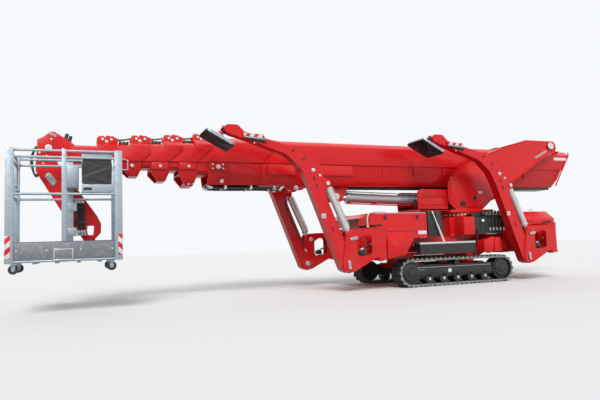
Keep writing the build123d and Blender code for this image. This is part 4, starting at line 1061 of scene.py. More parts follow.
def chassis_details():
    """Sockets, lamps, seams, eyes, bolts and covers on the girder, boxes and tower."""
    base = Shape().box((-0.340, -0.770, 0.488, 0.500), 0.7995, 0.804)
    for x in (-0.40, -0.72):
        base.bolts(((x, 0.60), (x + 0.04, 0.66)), 0.8, 0.010)
    base.pair("housing_trim", RED)
    socket = Shape().box((-2.300, -2.165, 0.510, 0.610), GIRDER_FACE_Y, 0.330, 0.012)
    socket.pair("socket_boxes", GREY)
    lamp_body = Shape().box((0.300, 0.420, 0.560, 0.680), -3.712, -3.698, 0.014, axis="X")
    lamp_body.pair("tail_lamp_bodies", BLACK)
    lens = Shape().box((0.310, 0.410, 0.570, 0.670), -3.722, -3.711, 0.012, 0.003, "X")
    lens.pair("tail_lamp_lenses", LENS)
    lines = (((-3.64, 0.905), (-2.68, 0.905)), ((-3.24, 0.72), (-3.24, 0.905)))
    seams = Shape().bands(lines, 0.006, 0.4485, 0.4520, 0.001)
    for x in (-3.50, -2.90):
        seams.box((x - 0.035, x + 0.035, 0.872, 0.902), 0.449, 0.460, 0.006, steps=3)
    seams.pair("rear_box_seams", BLACK)
    lips = Shape().box((-3.706, -3.690, 0.520, 0.960), 0.430, 0.452, bevel=0.003)
    lips.bands([((-3.700, 0.525), (-3.515, 0.482))], 0.016, 0.430, 0.452, 0.003)
    lips.pair("rear_box_lips", RED)
    grip = [(-3.701, -0.10, 0.80), (-3.730, -0.10, 0.81), (-3.730, 0.10, 0.81), (-3.701, 0.10, 0.80)]
    Shape().tube(grip, 0.009).piece("rear_box_handle", BLACK)
    eyes = Shape()
    for x in (-3.45, -2.85):
        arch = (
            (x - 0.03, 1.072), (x - 0.032, 1.098), (x, 1.118), (x + 0.032, 1.098),
            (x + 0.03, 1.072),
        )
        for y in (-0.22, 0.22):
            eyes.tube([at(spot, y) for spot in arch], 0.007)
    eyes.piece("lifting_eyes", ZINC)
    guard = [(-2.29, 0.455), (-2.43, 0.455), (-2.44, 0.60), (-2.40, 0.672), (-2.31, 0.672)]
    plates = Shape().slab(rounded(guard, 0.02), 0.610, 0.626, bevel=0.004)
    plates.pair("rear_housing_plates", RED)
    bolts = Shape()
    for angle in circle(20):
        x, y = 0.300 * math.cos(angle), 0.300 * math.sin(angle)
        bolts.bolt((TURRET_X + x, y, 1.1148), 0.011, UP)
    for angle in circle(40):
        outward = (math.cos(angle), math.sin(angle), 0.0)
        bolts.bolt((TURRET_X + 0.384 * outward[0], 0.384 * outward[1], 1.038), 0.011, outward)
    bolts.piece("slew_ring_bolts", ZINC)
    ring = ((0.0, 0.386), (0.050, 0.386), (0.052, 0.384))
    Shape().lathe(ring, (TURRET_X, 0.0, 1.012), UP, 72).piece("slew_ring_cover", RED)
    pinion = Shape().cap((-1.700, -0.20, 1.0005), 0.060, 0.070, UP)
    pinion.cap((-1.700, -0.20, 0.90), 0.085, 0.095, UP)
    pinion.piece("slew_pinion_cover", BLACK)


def power_box_details():
    """Lids, ends, knob and rests of the power boxes, and the valve bank with its hoses."""
    boxes = Shape().box((-2.508, -1.792, 0.975, 0.992), 0.325, 0.566, bevel=0.004)
    boxes.box((-2.46, -2.18, 0.755, 0.955), 0.5595, 0.5655, 0.02)
    boxes.box((-2.12, -1.84, 0.755, 0.955), 0.5595, 0.5655, 0.02)
    boxes.box((-2.505, -2.36, 0.730, 0.745), 0.556, 0.600, bevel=0.003)
    boxes.pair("power_box_lids", BLACK)
    covers = Shape().box((-1.990, -1.788, 0.722, 0.994), 0.328, 0.5675, bevel=0.005)
    covers.pair("power_box_ends", RED)
    profile = ((0.0, 0.024), (0.008, 0.024), (0.012, 0.018), (0.020, 0.022), (0.026, 0.012))
    Shape().lathe(profile, (-2.143, 0.5650, 0.930)).piece("isolator_knob", WHITE)
    Shape().box((-2.39, -2.20, 0.722, 0.731), 0.52, 0.585).pair("power_box_rests", GREY)
    valve_xs = [-2.56 + index * 0.065 for index in range(6)]
    valves = Shape().box((-2.60, -2.20, 0.992, 1.045), 0.39, 0.50, bevel=0.005)
    for x in valve_xs:
        valves.box((x - 0.022, x + 0.022, 0.995, 1.040), 0.498, 0.535, 0.006, steps=3)
        valves.cap((x, 0.445, 1.044), 0.019, 0.045, UP)
    valves.box((-2.15, -1.98, 0.992, 1.052), 0.385, 0.52, 0.02, 0.008)
    hood = [(-2.62, 0.80), (-2.512, 0.80), (-2.512, 1.03), (-2.56, 1.06), (-2.62, 1.02)]
    valves.slab(hood, 0.34, 0.54, bevel=0.01)
    valves.pair("valve_banks", BLACK)
    for index, x in enumerate(valve_xs):
        for side, side_name in SIDES:
            points = [
                (x, side * 0.536, 1.018), (x - 0.004, side * 0.566, 1.022),
                (x - 0.030, side * 0.578, 0.975), (x - 0.060 + 0.01 * index, side * 0.574, 0.88),
                (x - 0.040, side * 0.572, 0.79),
            ]
            hose(f"valve_hose_{side_name}_{index}", points, 0.009)
    pipe = [(-2.026, 0.575, 0.800), (-2.020, 0.577, 0.700), (-2.012, 0.577, 0.605)]
    Shape().tube(pipe, 0.008, 8).pair("drain_pipes", BLACK)


def turret_details():
    """Side panels, flanges, pins, plates and locks on the turret, and ribs and hoses of its trough."""
    panel = [
        (-1.725, 1.625), (-1.985, 1.706), (-2.260, 1.800), (-2.520, 1.795), (-2.560, 1.330),
        (-2.350, 1.155), (-1.850, 1.150), (-1.735, 1.250),
    ]
    panels = Shape().slab(rounded(panel, 0.03), 0.359, 0.371, bevel=0.004)
    panels.pair("turret_side_panels", RED)
    lower = (
        ((-2.535, 1.275), (-2.92, 1.540)),
        ((-2.92, 1.540), (-3.60, 1.963)),
        ((-3.60, 1.963), (-3.82, 2.036)),
    )
    Shape().bands(lower, 0.022, 0.33, 0.385, 0.004).pair("turret_flanges", RED)
    upper = (((-1.90, 1.762), (-2.76, 2.112)), ((-2.80, 2.128), (-3.26, 2.244)))
    Shape().bands(upper, 0.016, 0.33, 0.372, 0.003).pair("turret_top_flanges", RED)
    plate = Shape().box((-2.335, -2.255, 1.368, 1.402), TURRET_PANEL_Y, 0.3735, 0.006, steps=3)
    plate.pair("blank_turret_plates", WHITE)
    port = ((0.0, 0.043), (0.006, 0.043), (0.010, 0.036), (0.004, 0.030), (0.004, 0.010))
    locks = Shape().lathe(port, (-2.178, 0.369, 1.296))
    locks.box((-1.985, -1.900, 1.180, 1.250), 0.370, 0.384, 0.008, steps=3)
    locks.box((-1.965, -1.920, 1.195, 1.235), 0.383, 0.392, 0.006, steps=3)
    locks.pair("turret_lock_and_port", BLACK)
    blank = rounded(strip((-3.483, 1.968), (-3.739, 2.095), 0.034), 0.012)
    Shape().slab(blank, 0.359, 0.366).pair("blank_turret_strips", GREY)
    Shape().cap(at(BOOM_PIN, 0.379), 0.060, 0.016).pair("boom_pivot_caps", ZINC)
    keepers = Shape()
    for offset in (-0.066, 0.066):
        spot = (BOOM_PIN[0] + offset * 0.7, BOOM_PIN[1] + offset)
        keepers.bolt(at(spot, TURRET_PLATE_Y), 0.011)
    rear = ((-2.62, 1.70), (-2.80, 1.82), (-2.62, 1.50), (-3.05, 1.72))
    keepers.bolts(rear, TURRET_PLATE_Y, 0.009)
    keepers.bolts(((-1.78, 1.60), (-1.78, 1.30), (-2.45, 1.72)), TURRET_PANEL_Y, 0.009)
    keepers.pair("turret_bolts", RED)
    edge = Shape().box((-1.702, -1.690, 1.27, 1.50), 0.345, 0.361, 0.005, steps=3)
    edge.pair("turret_front_edges", RED)
    ribs = [((-1.195, z), (-1.66, z + 0.01)) for z in (1.20, 1.32)]
    braces = Shape().bands(ribs, 0.012, GIRDER_FACE_Y, 0.312, 0.003)
    braces.box((-1.62, -1.25, 1.345, 1.400), GIRDER_FACE_Y, 0.306, 0.012)
    braces.pair("trough_ribs", RED)
    pipes = Shape()
    for index, y in enumerate((-0.20, -0.16, 0.16, 0.20)):
        rise = (-1.19, 1.24 + 0.02 * index)
        line = ((-1.72, 1.150), (-1.50, 1.152), (-1.28, 1.150), (-1.20, 1.170), rise)
        pipes.tube([at(spot, y) for spot in line], 0.010)
    pipes.piece("trough_hoses", HOSE)


def boom_details():
    """Panels, ribs, plates and bolts of the boom, hoses and chain under it, and its tail fittings."""
    panel = Shape()
    for x_low, x_high in ((0.800, 1.200), (-0.100, 0.700)):
        panel.box((x_low, x_high, 1.628, 1.774), 0.252, 0.266, bevel=0.004)
    panel.pair("boom_side_panels", RED, "boom")
    ribs = Shape()
    for x in (-0.62, -1.16, -1.70, -2.24, -2.78, -3.32):
        ribs.box((x - 0.009, x + 0.009, 1.630, 1.778), 0.252, 0.262)
    ribs.pair("boom_side_ribs", RED, "boom")
    plate = Shape().box((1.320, 1.740, 1.612, 1.762), 0.254, 0.2650, bevel=0.004)
    plate.pair("collar_side_plates", RED, "boom")
    recess = Shape().box((1.205, 1.292, 1.622, 1.780), 0.236, 0.2460, bevel=0.001)
    recess.pair("collar_recesses", RED, "boom")
    bolts = Shape().bolt((1.900, COLLAR_SIDE_Y, 1.722), 0.021)
    bolts.bolt((1.850, 0.250, 1.535), 0.019, (0, 0.93, -0.37))
    for x in (1.975, 1.835):
        bolts.bolts(((x, 1.755), (x, 1.700)), COLLAR_SIDE_Y, 0.008)
    bolts.cap(at(BOOM_REST_PIN, 0.164), 0.034, 0.014)
    bolts.cap(at(LIFT_PINS[1], 0.094), 0.050, 0.012)
    bolts.pair("boom_bolts", ZINC, "boom")
    line = (
        (2.000, 1.478), (1.930, 1.460), (1.600, 1.458), (1.250, 1.462), (1.000, 1.458),
        (0.960, 1.472),
    )
    for side, side_name in SIDES:
        for index, y in enumerate((0.150, 0.115)):
            points = [at(spot, side * y) for spot in line]
            hose(f"boom_hose_{side_name}_{index}", points, 0.014, "boom")
    clips = Shape()
    for x in (1.78, 1.42, 1.08):
        clips.box((x - 0.018, x + 0.018, 0.092, 0.172), 1.440, 1.490, 0.006, axis="Z", steps=3)
    clips.pair("boom_hose_clips", ZINC, "boom")
    chain = Shape()
    for index in range(46):
        x = -3.00 + index * 0.075
        chain.box((x, x + 0.066, 1.456, 1.488), -0.060, 0.060, 0.008, 0.003, steps=2)
    chain.piece("boom_energy_chain", PLASTIC, "boom")
    edges = (((-4.325, 2.040), (-3.985, 1.512)), ((-4.325, 2.095), (-4.325, 2.040)))
    tail = Shape().bands(edges, 0.020, 0.262, 0.276, 0.004)
    tail.pair("boom_tail_edges", RED, "boom")
    blank = Shape().box((-4.28, -3.99, 1.955, 2.005), 0.2645, 0.2680, 0.008)
    blank.pair("blank_tail_plates", WHITE, "boom")
    hatch = Shape().box((-4.20, -3.99, 0.0, 0.22), 2.118, 2.126, 0.02, 0.003, "Z")
    hatch.pair("boom_top_hatches", RED, "boom")
    seams = Shape()
    for x in (-3.40, -2.20, -1.00, 0.20, 1.00):
        seams.box((x, x + 0.012, -0.150, 0.150), 2.1185, 2.1215, bevel=0.001, axis="Z")
    seams.piece("boom_top_welds", RED, "boom")


def section_details():
    """Bolts, lids, rope ends and energy chain at the sliding sections' heads."""
    for number, rear_x, front_x, foot_z in GUIDE_HEADS:
        body = f"section_{number}"
        middle = (rear_x + front_x) / 2
        bolts = Shape().bolt((middle + 0.010, 0.0978, foot_z + 0.032), 0.014)
        bolts.bolt((middle + 0.030, 0.0978, foot_z + 0.094), 0.009)
        for x in (rear_x + WHEEL_INSET[0], front_x - WHEEL_INSET[1]):
            bolts.cap((x, 0.1055, foot_z + WHEEL_RISE), 0.018, 0.007)
        bolts.pair(f"guide_head_bolts_{number}", ZINC, body)
        bounds = (rear_x + 0.050, front_x - 0.020, -0.084, 0.084)
        lid = Shape().box(bounds, foot_z + 0.100, foot_z + 0.106, axis="Z")
        lid.piece(f"guide_head_lid_{number}", RED, body)
        rods = Shape()
        start_z = foot_z + 0.075
        line = (
            (rear_x + 0.02, start_z), (rear_x - 0.06, start_z + 0.006),
            (rear_x - 0.155, start_z + 0.024),
        )
        for y in (0.050, 0.020):
            rods.tube([at(spot, y) for spot in line], 0.007, 8)
            nut = ((0.0, 0.014), (0.030, 0.014))
            rods.lathe(nut, (rear_x - 0.002, y, start_z), (-1, 0, 0), 6)
        rods.pair(f"rope_ends_{number}", ZINC, body)
        chain = Shape()
        for index in range(3):
            x = rear_x - 0.030 - index * 0.042
            bounds = (x - 0.017, x + 0.017, foot_z + 0.008, foot_z + 0.046)
            chain.box(bounds, -0.075, 0.075, 0.008, 0.003, steps=2)
        chain.piece(f"section_chain_{number}", PLASTIC, body)
    bolts = Shape().bolt((2.285, 0.2495, 1.725), 0.020)
    for x in (2.285, 2.228):
        bolts.bolt((x, 0.205, 1.497), 0.011, (0, 0.80, -0.60))
    bolts.pair("section_1_bolts", ZINC, "section_1")
    Shape().bolt((2.645, 0.2215, 1.725), 0.020).pair("section_2_bolts", ZINC, "section_2")
    Shape().bolt((2.990, 0.1990, 1.725), 0.014).pair("section_3_bolts", ZINC, "section_3")


def lift_cylinder_details():
    """Gland, pipes and guard of the lift cylinder."""
    start = Vector(at(LIFT_PINS[0], 0.0))
    end = Vector(at(LIFT_PINS[1], 0.0))
    along = (end - start).normalized()
    upward = Vector((-along.z, 0.0, along.x))
    barrel_end = (end - start).length - 0.195
    gland = ((0.0, 0.074), (0.004, 0.080), (0.050, 0.080), (0.056, 0.072), (0.056, 0.054))
    foot = ((0.0, 0.072), (0.006, 0.079), (0.036, 0.079), (0.042, 0.073))
    band = ((0.0, 0.0735), (0.003, 0.0765), (0.018, 0.0765), (0.021, 0.0735))
    rings = Shape().lathe(gland, start + along * (barrel_end - 0.055), along, 28)
    rings.lathe(foot, start + along * 0.205, along, 28)
    for share in (0.30, 0.55, 0.80):
        rings.lathe(band, start + along * (barrel_end * share), along, 28)
    rings.piece("lift_cylinder_rings", LOOKS["silver"], "lift_barrel")
    pipes = Shape()
    for y, length in ((0.020, 0.98), (-0.020, 0.60)):
        far = barrel_end * length - 0.04
        stations = (
            (0.26, 0.074), (0.30, 0.090), (far - 0.06, 0.090), (far - 0.01, 0.088), (far, 0.074),
        )
        side = Vector((0.0, y, 0.0))
        points = [start + along * way + side + upward * rise for way, rise in stations]
        pipes.tube(points, 0.008)
    pipes.piece("lift_cylinder_pipes", LIT_SILVER, "lift_barrel")
    outline = []
    front = barrel_end - 0.02
    for distance, drop in ((0.55, 0.082), (front, 0.082), (front, 0.092), (0.55, 0.092)):
        point = start + along * distance - upward * drop
        outline.append((point.x, point.z))
    guard = Shape().slab(outline, -0.060, 0.060, bevel=0.003)
    for distance in (0.60, 1.20, 1.80, 2.24):
        point = start + along * distance - upward * 0.060
        bounds = (point.x - 0.012, point.x + 0.012, point.z - 0.024, point.z + 0.008)
        guard.box(bounds, -0.050, 0.050)
    guard.piece("lift_cylinder_guard", RED, "lift_barrel")


def jib_details():
    """Pins, plates, clips and hoses on the boom's head and the jib arm."""
    head = Shape().cap(at(JIB_TOP, 0.0830), 0.042, 0.014)
    places = ((3.93, 2.05), (3.80, 1.93), (3.76, 1.84), (4.06, 1.88), (3.98, 1.84))
    head.bolts(places, HEAD_SIDE_Y, 0.009)
    head.pair("jib_pin_caps", ZINC, "section_5")
    label = rounded(strip((3.948, 2.128), (3.873, 2.090), 0.030), 0.006, 3)
    Shape().slab(label, HEAD_SIDE_Y, 0.0735).pair("blank_head_plates", GREY, "section_5")
    fittings = Shape()
    for x, z in ((3.726, 2.050), (3.768, 2.078)):
        fittings.cap((x, 0.030, z), 0.022, 0.060, (-0.35, 0, 1))
        fittings.cap((x, -0.030, z), 0.018, 0.050, (-0.35, 0, 1))
    block = [(3.700, 2.035), (3.786, 2.091), (3.796, 2.071), (3.715, 2.010)]
    fittings.slab(block, -0.055, 0.055, bevel=0.003)
    fittings.piece("head_fittings", BLACK, "section_5")
    oval = [(4.010, 1.600), (3.957, 1.657), (3.862, 1.524), (3.911, 1.466)]
    plate = Shape().slab(rounded(oval, 0.032), 0.0545, 0.0600, bevel=0.0025)
    plate.pair("jib_cover_plates", GREY, "jib")
    bolts = Shape().bolts(((3.970, 1.604), (3.905, 1.512)), 0.0598, 0.008)
    bolts.bolts(((3.66, 1.20), (3.52, 0.96), (4.02, 1.75), (3.90, 1.72)), JIB_SIDE_Y, 0.008)
    bolts.pair("jib_bolts", ZINC, "jib")
    edges = (
        ((4.088, 1.66), (4.012, 1.517)),
        ((4.012, 1.517), (3.832, 1.206)),
        ((3.832, 1.206), (3.604, 0.870)),
        ((3.418, 1.110), (3.845, 1.738)),
    )
    Shape().bands(edges, 0.012, -0.062, 0.062, 0.003).piece("jib_edge_flanges", RED, "jib")
    for index, y in enumerate((0.039, 0.013, -0.013, -0.039)):
        bulge = 4.146 + 0.012 * (index % 2)
        line = (
            (4.088, 1.955), (4.122, 1.925), (bulge, 1.830), (bulge - 0.002, 1.740), (4.128, 1.640),
            (4.104, 1.600),
        )
        Shape().tube([at(spot, y) for spot in line], 0.011).piece(f"jib_hose_{index}", HOSE, "jib")
    clips = Shape()
    for z, x in ((1.610, 4.098), (1.950, 4.095)):
        clips.box((x - 0.018, x + 0.020, z - 0.020, z + 0.016), -0.052, 0.052, 0.006, steps=3)
    clips.piece("jib_hose_clips", BLACK, "jib")
    for index, x in enumerate((3.560, 3.595, 3.630)):
        points = [
            (x + 0.030, 0.072, 1.300), (x + 0.008, 0.080, 1.240), (x, 0.080, 1.100),
            (x - 0.004, 0.080, 0.960), (x - 0.012, 0.078, 0.880),
        ]
        hose(f"jib_drop_hose_{index}", points, 0.013, "jib")
    straps = Shape()
    for z in (1.21, 1.02):
        straps.box((3.535, 3.655, z - 0.014, z + 0.014), 0.054, 0.097, 0.006, steps=3)
    straps.piece("jib_hose_straps", BLACK, "jib")


def console_details(corner):
    """Keepers, bolts, webs and hose on a swivel console, and the cap over its post."""
    keepers = Shape()
    for start, end in (((0.285, 0.312), (0.300, 0.425)), ((0.165, 0.722), (0.268, 0.706))):
        keepers.slab(rounded(strip(start, end, 0.044), 0.020), *KEEPER_YS)
    keepers.corner_piece("pin_keepers", GREY, "console", corner)
    places = ((0.285, 0.322), (0.299, 0.415), (0.177, 0.721), (0.257, 0.708))
    bolts = Shape().bolts(places, 0.8300, 0.008)
    bolts.cap((0.285, LEG_MIDDLE_Y - 0.100, 0.360), 0.040, 0.012, (0, -1, 0))
    bolts.cap(at(LEG_LOW_PIN, LEG_MIDDLE_Y - 0.100), 0.034, 0.012, (0, -1, 0))
    bolts.corner_piece("console_bolts", ZINC, "console", corner)
    webs = Shape().bands([((-0.150, 0.500), (0.060, 0.480))], 0.012, 0.655, 0.795, 0.003)
    webs.box((0.02, 0.10, 0.495, 0.560), 0.690, 0.770, 0.012, 0.004)
    webs.corner_piece("console_webs", BLACK, "console", corner)
    swivel = Shape().cap((-0.235, LEG_MIDDLE_Y, 0.8805), 0.050, 0.014, UP)
    swivel.bolt((-0.235, LEG_MIDDLE_Y, 0.892), 0.016, UP)
    swivel.piece(f"swivel_caps_{corner[0]}", BLACK, "chassis", corner)
    line = [
        (-0.130, 0.700, 0.640), (-0.080, 0.712, 0.610), (0.000, 0.720, 0.585),
        (0.060, 0.730, 0.562),
    ]
    hose(f"console_hose_{corner[0]}", line, 0.011, f"console_{corner[0]}", corner)


def leg_fittings(corner):
    """Blank plates, bolts, clips, hose and weld on a leg's outer side."""
    square = Shape().box((0.600, 0.660, 0.992, 1.052), 0.7945, 0.7975, 0.006, steps=3)
    square.corner_piece("blank_leg_plates", WHITE, "leg", corner)
    dot = ((0.0, 0.016), (0.0015, 0.016), (0.0025, 0.013))
    dots = Shape().lathe(dot, (0.630, 0.7970, 1.022))
    dots.corner_piece("leg_plate_dots", GREY, "leg", corner)
    caps = Shape().cap(at(LEG_HIGH_PIN, 0.7848), 0.028, 0.012)
    caps.bolt((0.754, LEG_OUTER_Y - 0.001, 1.628), 0.018)
    caps.bolt((0.660, LEG_OUTER_Y - 0.001, 1.560), 0.012)
    caps.bolts(((1.56, 1.955), (1.52, 2.030)), 0.8225, 0.007)
    caps.corner_piece("leg_bolts", ZINC, "leg", corner)
    clips = Shape()
    for start, end in (
        ((1.010, 1.905), (1.045, 1.865)),
        ((0.865, 1.800), (0.900, 1.760)),
        ((0.752, 1.545), (0.744, 1.495)),
        ((0.716, 1.440), (0.704, 1.385)),
        ((0.520, 0.880), (0.500, 0.820)),
    ):
        clip = rounded(strip(start, end, 0.014), 0.005, 3)
        clips.slab(clip, LEG_OUTER_Y - 0.001, LEG_OUTER_Y + 0.010)
    clips.corner_piece("leg_clips", BLACK, "leg", corner)
    line = [
        (0.310, 0.634, 0.560), (0.352, 0.646, 0.640), (0.450, 0.646, 0.860), (0.580, 0.646, 1.170),
        (0.620, 0.646, 1.300), (0.590, 0.646, 1.400),
    ]
    hose(f"leg_hose_{corner[0]}", line, 0.010, f"leg_{corner[0]}", corner)
    weld = ((0.345, 0.655), (0.440, 0.880), (0.560, 1.170), (0.590, 1.260))
    welds = Shape().tube([at(spot, 0.7945) for spot in weld], 0.004, 6)
    welds.corner_piece("leg_welds", RED, "leg", corner)


def leg_cylinder_details(corner):
    """Gland, foot ring and pipe on a leg's cylinder."""
    top = Vector(at(LEG_HIGH_PIN, LEG_MIDDLE_Y))
    reach = [low - high for low, high in zip(LEG_LOW_PIN, LEG_HIGH_PIN)]
    along = Vector(at(reach, 0.0)).normalized()
    outward = Vector((-along.z, 0.0, along.x))
    gland = ((0.0, 0.046), (0.004, 0.052), (0.042, 0.052), (0.048, 0.046), (0.048, 0.031))
    ring = ((0.0, 0.046), (0.004, 0.050), (0.026, 0.050), (0.030, 0.046))
    barrel = Shape().lathe(gland, top + along * 0.628, along, 24)
    barrel.lathe(ring, top + along * 0.058, along, 24)
    stations = ((0.090, 0.044), (0.105, 0.060), (0.590, 0.060), (0.615, 0.060), (0.635, 0.048))
    barrel.tube([top + along * way - outward * out for way, out in stations], 0.006)
    barrel.corner_piece("leg_cylinder_rings", LIT_SILVER, "leg_barrel", corner)


def leg_board_details(corner):
    """Striped board at the top of a leg, with its backing and strips."""
    for stem, look, outline, (near, far, bevel) in LEG_BOARDS:
        board = Shape().slab(outline, near, far, bevel=bevel)
        board.corner_piece(stem, look, "leg", corner)


def foot_details(corner):
    """Ball boot and flange on a leg's end, and the foot plate that tilts on the ball."""
    ball = Vector(at(FOOT_BALL, LEG_MIDDLE_Y))
    stalk = Vector((math.cos(STALK_ANGLE), 0.0, math.sin(STALK_ANGLE)))
    boot = Shape().lathe(BALL_BOOT, ball, stalk, 24)
    boot.corner_piece("ball_boots", PLASTIC, "leg", corner)
    flange = ((0.100, 0.040), (0.104, 0.058), (0.114, 0.058), (0.118, 0.046))
    disc = Shape().lathe(flange, ball, stalk, 24)
    disc.corner_piece("stalk_flanges", ZINC, "leg", corner)
    foot_up = Vector((-math.sin(FOOT_TILT), 0.0, math.cos(FOOT_TILT)))
    foot_ahead = Vector((math.cos(FOOT_TILT), 0.0, math.sin(FOOT_TILT)))
    turn = Matrix((foot_ahead, OUT, foot_up)).transposed().to_4x4()
    turn = Matrix.Translation(ball - foot_up * 0.062) @ turn
    plate = Shape().box((-0.150, 0.150, -0.180, 0.180), 0.000, 0.010, 0.04, 0.003, "Z")
    for index in range(6):
        angle = math.pi / 6 + index * math.pi / 3
        plate.bolt((0.110 * math.cos(angle), 0.130 * math.sin(angle), 0.0095), 0.010, UP)
    cup = ((0.008, 0.092), (0.018, 0.092), (0.024, 0.078), (0.048, 0.070), (0.052, 0.064))
    plate.lathe(cup, (0, 0, 0), UP, 28)
    plate.mesh.transform(turn)
    plate.corner_piece("foot_plates", ZINC_COAT, "foot", corner)
    rim = Shape().box((-0.203, 0.203, -0.224, 0.224), -0.034, -0.022, 0.06, 0.004, "Z")
    rim.mesh.transform(turn)
    rim.corner_piece("foot_rims", PLASTIC, "foot", corner)


def leg_details():
    """Pins, stickers, clips, hoses, boards and feet, at all four corners."""
    for corner in CORNERS:
        console_details(corner)
        leg_fittings(corner)
        leg_cylinder_details(corner)
        leg_board_details(corner)
        foot_details(corner)


def basket_details():
    """Tapes, step plate, latch channel, bolts, collars, joists, studs and castor hubs."""
    for index, (x_low, x_high) in enumerate(((3.1655, 3.2120), (4.2850, 4.3395))):
        tape = Shape().box((x_low, x_high, 0.612, 0.848), 0.9480, 0.9500, bevel=0.0002)
        tape.piece(f"post_tape_{index}", TAPES[index], "basket")
    step = Shape()
    for bounds in (
        (3.675, 3.871, 0.690, 0.701),
        (3.675, 3.871, 0.579, 0.590),
        (3.675, 3.686, 0.589, 0.691),
        (3.860, 3.871, 0.589, 0.691),
    ):
        step.box(bounds, 0.934, 0.9495, bevel=0.003)
    step.piece("basket_step_frame", LIT_SILVER, "basket")
    plate = Shape().box((3.685, 3.861, 0.588, 0.692), 0.938, 0.944, bevel=0.001)
    plate.piece("basket_step_plate", WORN_BOARD, "basket")
    channel = Shape().box((4.258, 4.313, 1.390, 1.742), COLUMN_FACE_Y, 0.2850, 0.008)
    channel.piece("basket_latch_channel", ZINC_COAT, "basket")
    slots = Shape().box((4.280, 4.287, 1.470, 1.700), 0.2845, 0.2865, 0.003, 0.0006, steps=3)
    slots.cap((4.292, 0.2845, 1.432), 0.009, 0.004)
    slots.piece("basket_slots", BLACK, "basket")
    bolts = Shape()
    for x in (3.275, 3.60, 3.94, 4.23):
        bolts.bolt((x, 0.9405, 0.688), 0.006)
        bolts.bolt((x, 0.2422, 0.688), 0.006, (0, -1, 0))
    bolts.piece("basket_bolts", ZINC, "basket")
    collars = Shape()
    profile = ((0.0, 0.0195), (0.006, 0.0195), (0.010, 0.0150))
    for x, inner in zip(BASKET_POST_XS, (1, -1)):
        for y in BASKET_POST_YS[::-1]:
            for z in RAIL_ZS:
                collars.lathe(profile, (x + inner * 0.041, y, z), (inner, 0, 0), 16)
    collars.piece("rail_collars", ZINC_COAT, "basket")
    joists = Shape()
    for x in (3.40, 3.62, 3.84, 4.06):
        joists.box((x - 0.020, x + 0.020, 0.545, 0.592), 0.27, 0.905)
    joists.piece("basket_floor_joists", ZINC_COAT, "basket")
    studs = Shape()
    for row in range(9):
        for column in range(14):
            x = 3.285 + column * 0.070
            y = 0.315 + row * 0.066
            studs.box((x, x + 0.040, y, y + 0.012), 0.6195, 0.6225, 0.005, 0.001, "Z", 2)
    studs.piece("basket_floor_studs", TREAD, "basket")
    pads = Shape()
    for z in (1.2, 0.9, 1.5):
        pads.box((3.640, 3.746, z - 0.05, z + 0.05), COLUMN_FACE_Y, 0.2700, 0.01)
    pads.piece("column_pads", ZINC_COAT, "basket")
    hub_profile = ((0.0, 0.018), (0.0008, 0.018), (0.0016, 0.012))
    for end, x in zip(("front", "rear"), CASTOR_XS):
        for (_, side_name), y in zip(SIDES, CASTOR_YS):
            hub = Shape()
            for side, _ in SIDES:
                hub.lathe(hub_profile, (x, y + side * 0.0158, 0.496), (0, side, 0), 20)
            corner_name = f"{end}_{side_name}"
            hub.piece(f"castor_hub_{corner_name}", ZINC, f"castor_wheel_{corner_name}")
    console()


def crumpled(low, high):
    """Cloth hood, open below, whose sides pull in along soft folds, inside two corners."""
    size = high - low
    shape = Shape()
    bmesh.ops.create_cube(shape.mesh, size=1.0)
    edges = shape.mesh.edges
    bmesh.ops.subdivide_edges(shape.mesh, edges=edges, cuts=27, use_grid_fill=True)
    for vertex in shape.mesh.verts:
        share = vertex.co.copy()
        squeeze = [1 - 0.11 * max(0.0, abs(share[other]) * 2 - 0.5) ** 1.5 for other in (2, 0, 1)]
        ripple = math.sin(9 * share.x + 4 * math.sin(6 * share.z))
        depth = 0.5 + 0.5 * ripple * math.cos(7 * share.z + 3 * share.x)
        sag = 0.06 * depth * max(0.0, 2 * share.z) * (1 - abs(share.x))
        local = Vector(
            (
                share.x * squeeze[0] * (1 - 0.03 * depth) * size.x,
                share.y * squeeze[1] * (0.99 - 0.07 * depth) * size.y,
                share.z * squeeze[2] * (0.99 - sag) * size.z,
            )
        )
        vertex.co = local + low + size / 2
    floor_z = low.z + 0.02 * size.z
    bottom = []
    for face in shape.mesh.faces:
        if face.normal.z < -0.9 and face.calc_center_median().z < floor_z:
            bottom.append(face)
    bmesh.ops.delete(shape.mesh, geom=bottom, context="FACES")
    return shape


